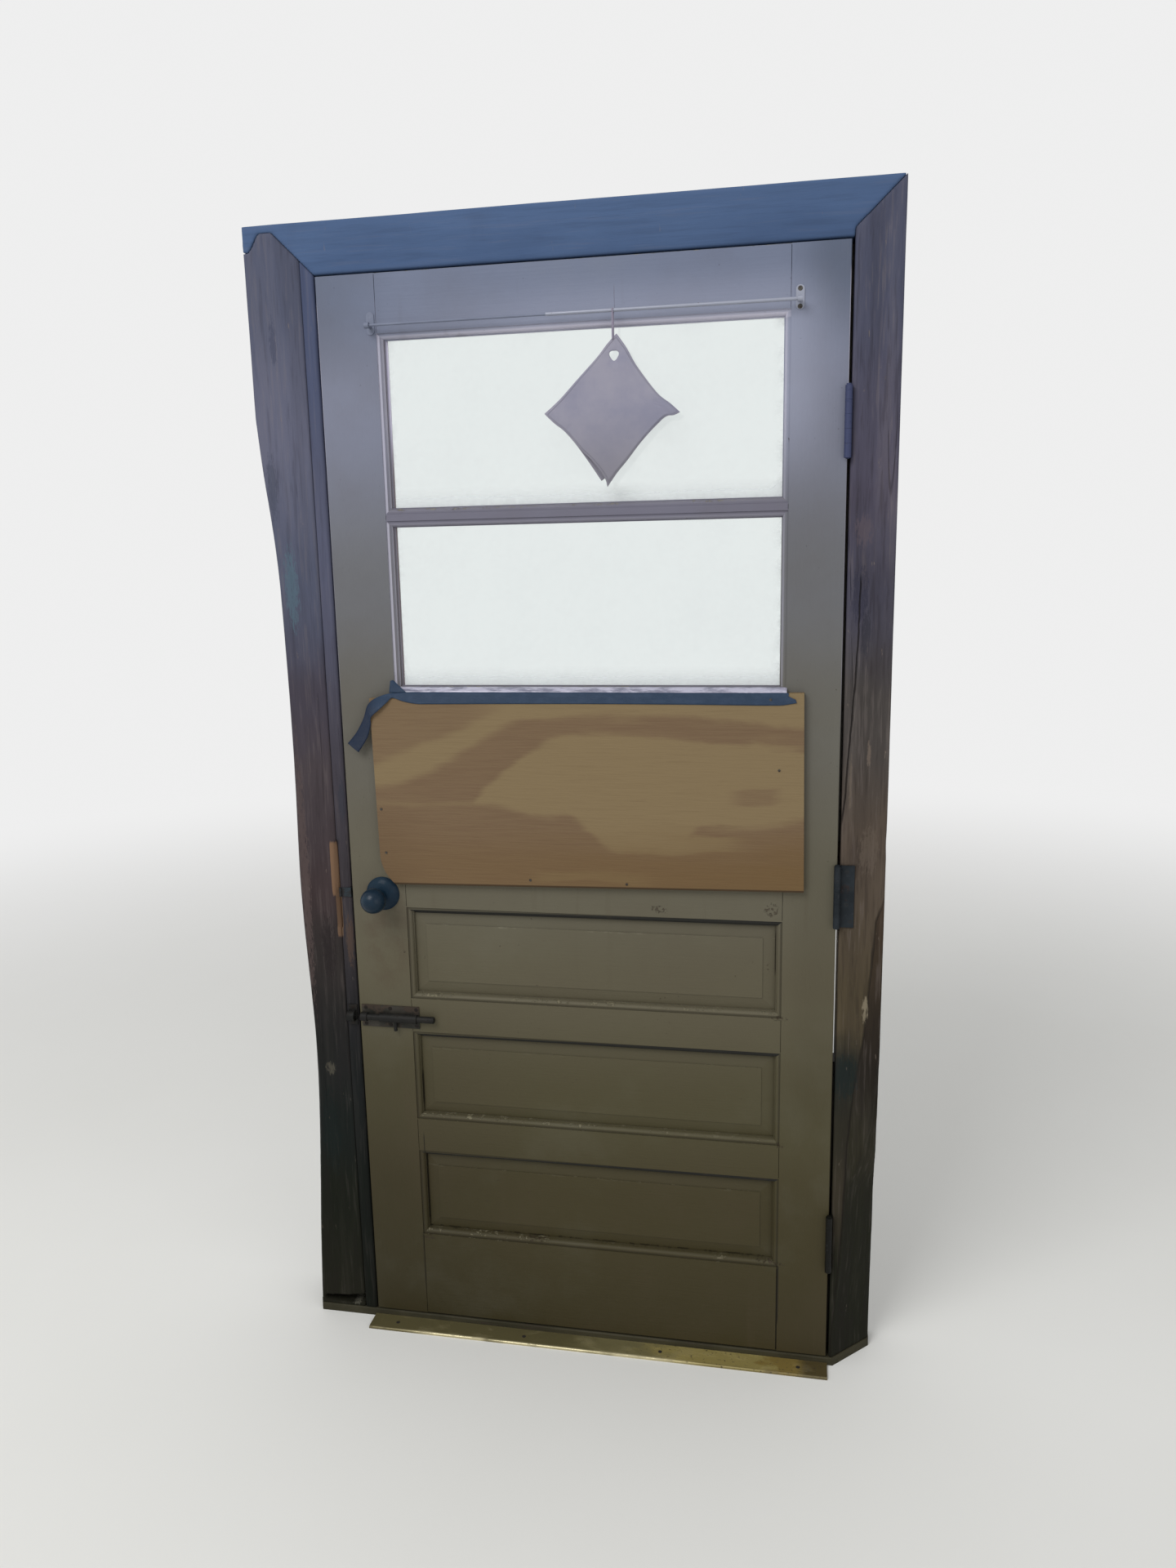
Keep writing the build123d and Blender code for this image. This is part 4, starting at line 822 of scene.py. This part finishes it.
def fold_place(u, v):
    x = fold_left + (fold_right - fold_left) * u
    back = sheet_low.y * (1 - v) + (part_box("lower_muntin")[0].y + 0.004) * v
    torn = 1.4 if u > 0.88 else 0.5
    lumps = (0.9 * noise.noise(Vector((x * 0.045, v * 2, 0)))
             + torn * noise.noise(Vector((x * 0.2, v * 5, 7))))
    point = on_sheet((x, 0, 0.4 + 8.3 * v ** 0.8 + 1.1 * math.sin(math.pi * v) * (1 + 0.5 * lumps)))
    point.y = back - 0.0008 - millimetre * 0.5 * lumps * (1 - v)
    return point


def ear_place(u, v):
    left = Vector((40, 1.5, -1)).lerp(Vector((45, 5, 22)), v)
    right = Vector((73, 1.2, 0)).lerp(Vector((50, 3, 23)), v)
    point = left.lerp(right, u)
    point.y += 2.2 * math.sin(math.pi * u) * v
    return on_sheet(point)


tape_film, at = finish("tape_film", specular_ior_level=0.2)
crease = at.drawn(0.6, 1, 1).cloud(70, 4, 0.6)
mesh_lines = (at.along("Z") * 5200).math("SINE") * 0.12
colour = crease.step(0.4, 0.7).blend(tone(38, 56, 79), tone(46, 63, 86))
colour = at.along("X").step(corner.x + 0.03, corner.x - 0.01).blend(colour, tone(20, 34, 56))
coat(tape_film, colour, 0.36, relief=crease + mesh_lines, depth=0.0012)
# The folded half is a lighter copy of the tape, with its sheen painted in.
tape_painted_sheen, at = finish("tape_painted_sheen", specular_ior_level=0.6)
crease = at.drawn(0.35, 1, 1).cloud(60, 4, 0.6)
sheen = crease.step(0.62, 0.42)
coat(tape_painted_sheen, sheen.blend(tone(112, 112, 130), tone(172, 170, 188)), 0.26, relief=crease, depth=0.003)
shape = bmesh.new()
leaf_of(shape, 420, 8, strip_place)
leaf_of(shape, 260, 6, fold_place, 1)
leaf_of(shape, 10, 10, ear_place)
tape_strip = made_object("tape_strip", shape)
for film in (tape_film, tape_painted_sheen):
    tape_strip.data.materials.append(film)
thickness = tape_strip.modifiers.new("thickness", "SOLIDIFY")
thickness.thickness = tape_skin
thickness.offset = 0
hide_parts("tape")
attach(tape_strip, "leaf")

# Pot holder. Two squares of quilted cotton, hemmed together at the top corner, where a
# buttonhole is worked and a loop of ribbon goes over the rod. The front square is padded,
# its sides pull in between the corners, and the back square shows past its lower edges.
pad_low, pad_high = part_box("pot_holder")
square = (pad_high.x - pad_low.x) / 1.363
pad_top = Vector((pad_low.x + 0.75 * square, pad_low.y, pad_low.z + 1.446 * square))
pad_thickness = 0.0026
swell = 0.0018
rod_low, rod_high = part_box("rod_inner")
rod_middle = (rod_low + rod_high) / 2


def hung(point, y):
    """A point drawn in sides of the square from its top corner, at a depth."""
    return Vector((pad_top.x + point[0] * square, y, pad_top.z + point[1] * square))


top_c, right_c, foot_c, left_c = (-0.006, 0.014), (0.622, -0.756), (-0.12, -1.455), (-0.757, -0.716)
front_sides = ([top_c, (0.09, -0.12), (0.2, -0.309), (0.395, -0.562), (0.53, -0.672), right_c],
               [right_c, (0.56, -0.783), (0.46, -0.806), (0.255, -1.0), (0.087, -1.2), (-0.02, -1.32),
                foot_c],
               [left_c, (-0.66, -0.81), (-0.575, -0.875), (-0.51, -0.94), (-0.39, -1.08),
                (-0.264, -1.206), (-0.15, -1.36), foot_c],
               [top_c, (-0.1, -0.078), (-0.212, -0.205), (-0.41, -0.4), (-0.572, -0.562),
                (-0.68, -0.656), left_c])
back_sides = ([(0, -0.07), (0.2, -0.35), (0.46, -0.795)],
              [(0.46, -0.795), (0.25, -0.99), (0.06, -1.2), (-0.185, -1.39)],
              [(-0.64, -0.78), (-0.46, -1.0), (-0.32, -1.19), (-0.185, -1.39)],
              [(0, -0.07), (-0.3, -0.42), (-0.64, -0.78)])
hole_middle, hole_size = (-0.033, -0.188), 0.046


def square_of_cloth(shape, sides, cells, y):
    """A square of cloth between four drawn sides, with its hem's distance kept on each point."""
    hem = shape.verts.layers.float.new("hem")
    over, right, under, left = sides

    def place(u, v):
        flat = ((1 - v) * smooth(over, u) + v * smooth(under, u)
                + (1 - u) * smooth(left, v) + u * smooth(right, v)
                - (1 - u) * (1 - v) * Vector(over[0]) - u * (1 - v) * Vector(over[-1])
                - (1 - u) * v * Vector(under[0]) - u * v * Vector(under[-1]))
        sag = noise.noise(Vector((flat[0] * 2.6, 1, flat[1] * 2.6))) * 0.0012
        return hung(flat, y + sag * math.sin(math.pi * u) * math.sin(math.pi * v))

    flat_cells = bmesh.ops.create_grid(shape, x_segments=cells, y_segments=cells, size=0.5)["verts"]
    for vert in flat_cells:
        u, v = vert.co.x + 0.5, vert.co.y + 0.5
        vert[hem] = min(u, v, 1 - u, 1 - v)
        vert.co = place(u, v)


cotton, at = finish("cotton", sheen_weight=0.25, specular_ior_level=0.2)
hem = at.node("Attribute", attribute_name="hem", out="Fac")
seam = abs(hem - 0.045).step(0.008, 0.003)
weave = (at.drawn(1, 0, 1).along("X") * 4200).math("SINE") * (at.along("Z") * 4200).math("SINE")
faded = at.cloud(9, 5, 0.6).step(0.35, 0.7)
colour = faded.blend(tone(130, 130, 149), tone(146, 144, 158))
colour = (hem.step(0.03, 0.0) * 0.4).blend(colour, tone(112, 98, 120))
colour = (at.along("Z").step(pad_top.z - 0.6 * square, pad_low.z) * 0.75).blend(colour, tone(119, 117, 125))
coat(cotton, (seam * 0.35).blend(colour, tone(98, 94, 110)), 0.9,
     relief=weave * 0.2 + at.cloud(30, 4) * 2 - seam, depth=0.0006)

shape = bmesh.new()
square_of_cloth(shape, front_sides, 64, pad_low.y + 0.0008)
hole = hung(hole_middle, 0)


def from_hole(point):
    """How far a point is from the buttonhole's middle, in shares of its radius there."""
    away = Vector((point.x - hole.x, 0, point.z - hole.z))
    turn = math.atan2(away.z, away.x)
    reach = hole_size * square * (1 + 0.14 * math.sin(3 * turn))
    return away.length / reach, away, reach


def cut_hole(shape, size):
    """Opens the buttonhole in a square of cloth and draws its edge round."""
    inside = [face for face in shape.faces if from_hole(face.calc_center_median())[0] < size]
    bmesh.ops.delete(shape, geom=inside, context="FACES")
    for vert in shape.verts:
        share, away, reach = from_hole(vert.co)
        if vert.is_boundary and share < size + 0.8:
            vert.co += away.normalized() * reach * size - away


cut_hole(shape, 1.0)
bmesh.ops.recalc_face_normals(shape, faces=shape.faces)
bmesh.ops.solidify(shape, geom=shape.faces[:], thickness=pad_thickness)
bmesh.ops.recalc_face_normals(shape, faces=shape.faces)
pad = made_object("pot_holder_pad", shape)
rest = [vert.co.copy() for vert in pad.data.vertices]
cloth = pad.modifiers.new("cloth", "CLOTH")
cloth.settings.use_pressure = True
cloth.settings.uniform_pressure_force = 3.0
cloth.settings.effector_weights.gravity = 0
cloth.settings.quality = 5
for frame_number in range(1, 13):
    bpy.context.scene.frame_set(frame_number)
graph = bpy.context.evaluated_depsgraph_get()
blown = bpy.data.meshes.new_from_object(pad.evaluated_get(graph))
pad.modifiers.clear()
bpy.context.scene.frame_set(1)
for vert, start, end in zip(pad.data.vertices, rest, blown.vertices):
    move = end.co - start
    move.x *= 0.2
    move.z *= 0.2
    vert.co = start + move * min(1.0, swell / max(move.length, 1e-9))
pad.data.shade_smooth()
rounding = pad.modifiers.new("rounding", "SUBSURF")
rounding.levels = rounding.render_levels = 1
pad.data.materials.append(cotton)
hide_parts("pot_holder")
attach(pad, "leaf")

shape = bmesh.new()
square_of_cloth(shape, back_sides, 48, pad_high.y - 0.0012)
cut_hole(shape, 1.15)
back_cloth = made_object("pot_holder_back", shape)
thickness = back_cloth.modifiers.new("thickness", "SOLIDIFY")
thickness.thickness = 0.0012
thickness.offset = 0
back_cloth.data.shade_smooth()
back_cloth.data.materials.append(cotton)
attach(back_cloth, "leaf")

ribbon_half, ribbon_reach = 0.0014, 0.0038
ribbon_x = pad_top.x - 0.043 * square


def ribbon_place(u, v):
    """Up in front of the rod, over it and down behind it."""
    foot = pad_top.z - 0.007
    run = rod_middle.z - foot
    length = 2 * run + math.pi * ribbon_reach
    along = u * length
    x = ribbon_x + (v * 2 - 1) * ribbon_half
    if along < run:
        lean = along / run
        front = pad_low.y * (1 - lean) + (rod_middle.y - ribbon_reach) * lean - 0.0004
        return Vector((x, front, foot + along))
    if along > length - run:
        lean = (length - along) / run
        back = pad_high.y * (1 - lean) + (rod_middle.y + ribbon_reach) * lean
        return Vector((x, back, foot + length - along))
    turn = (along - run) / ribbon_reach
    over = rod_middle.z + math.sin(turn) * ribbon_reach
    return Vector((x, rod_middle.y - math.cos(turn) * ribbon_reach, over))


shape = bmesh.new()
leaf_of(shape, 60, 3, ribbon_place)
ribbon = made_object("pot_holder_loop", shape)
thickness = ribbon.modifiers.new("thickness", "SOLIDIFY")
thickness.thickness = 0.0007
thickness.offset = 0
ribbon.data.materials.append(cotton)
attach(ribbon, "leaf")
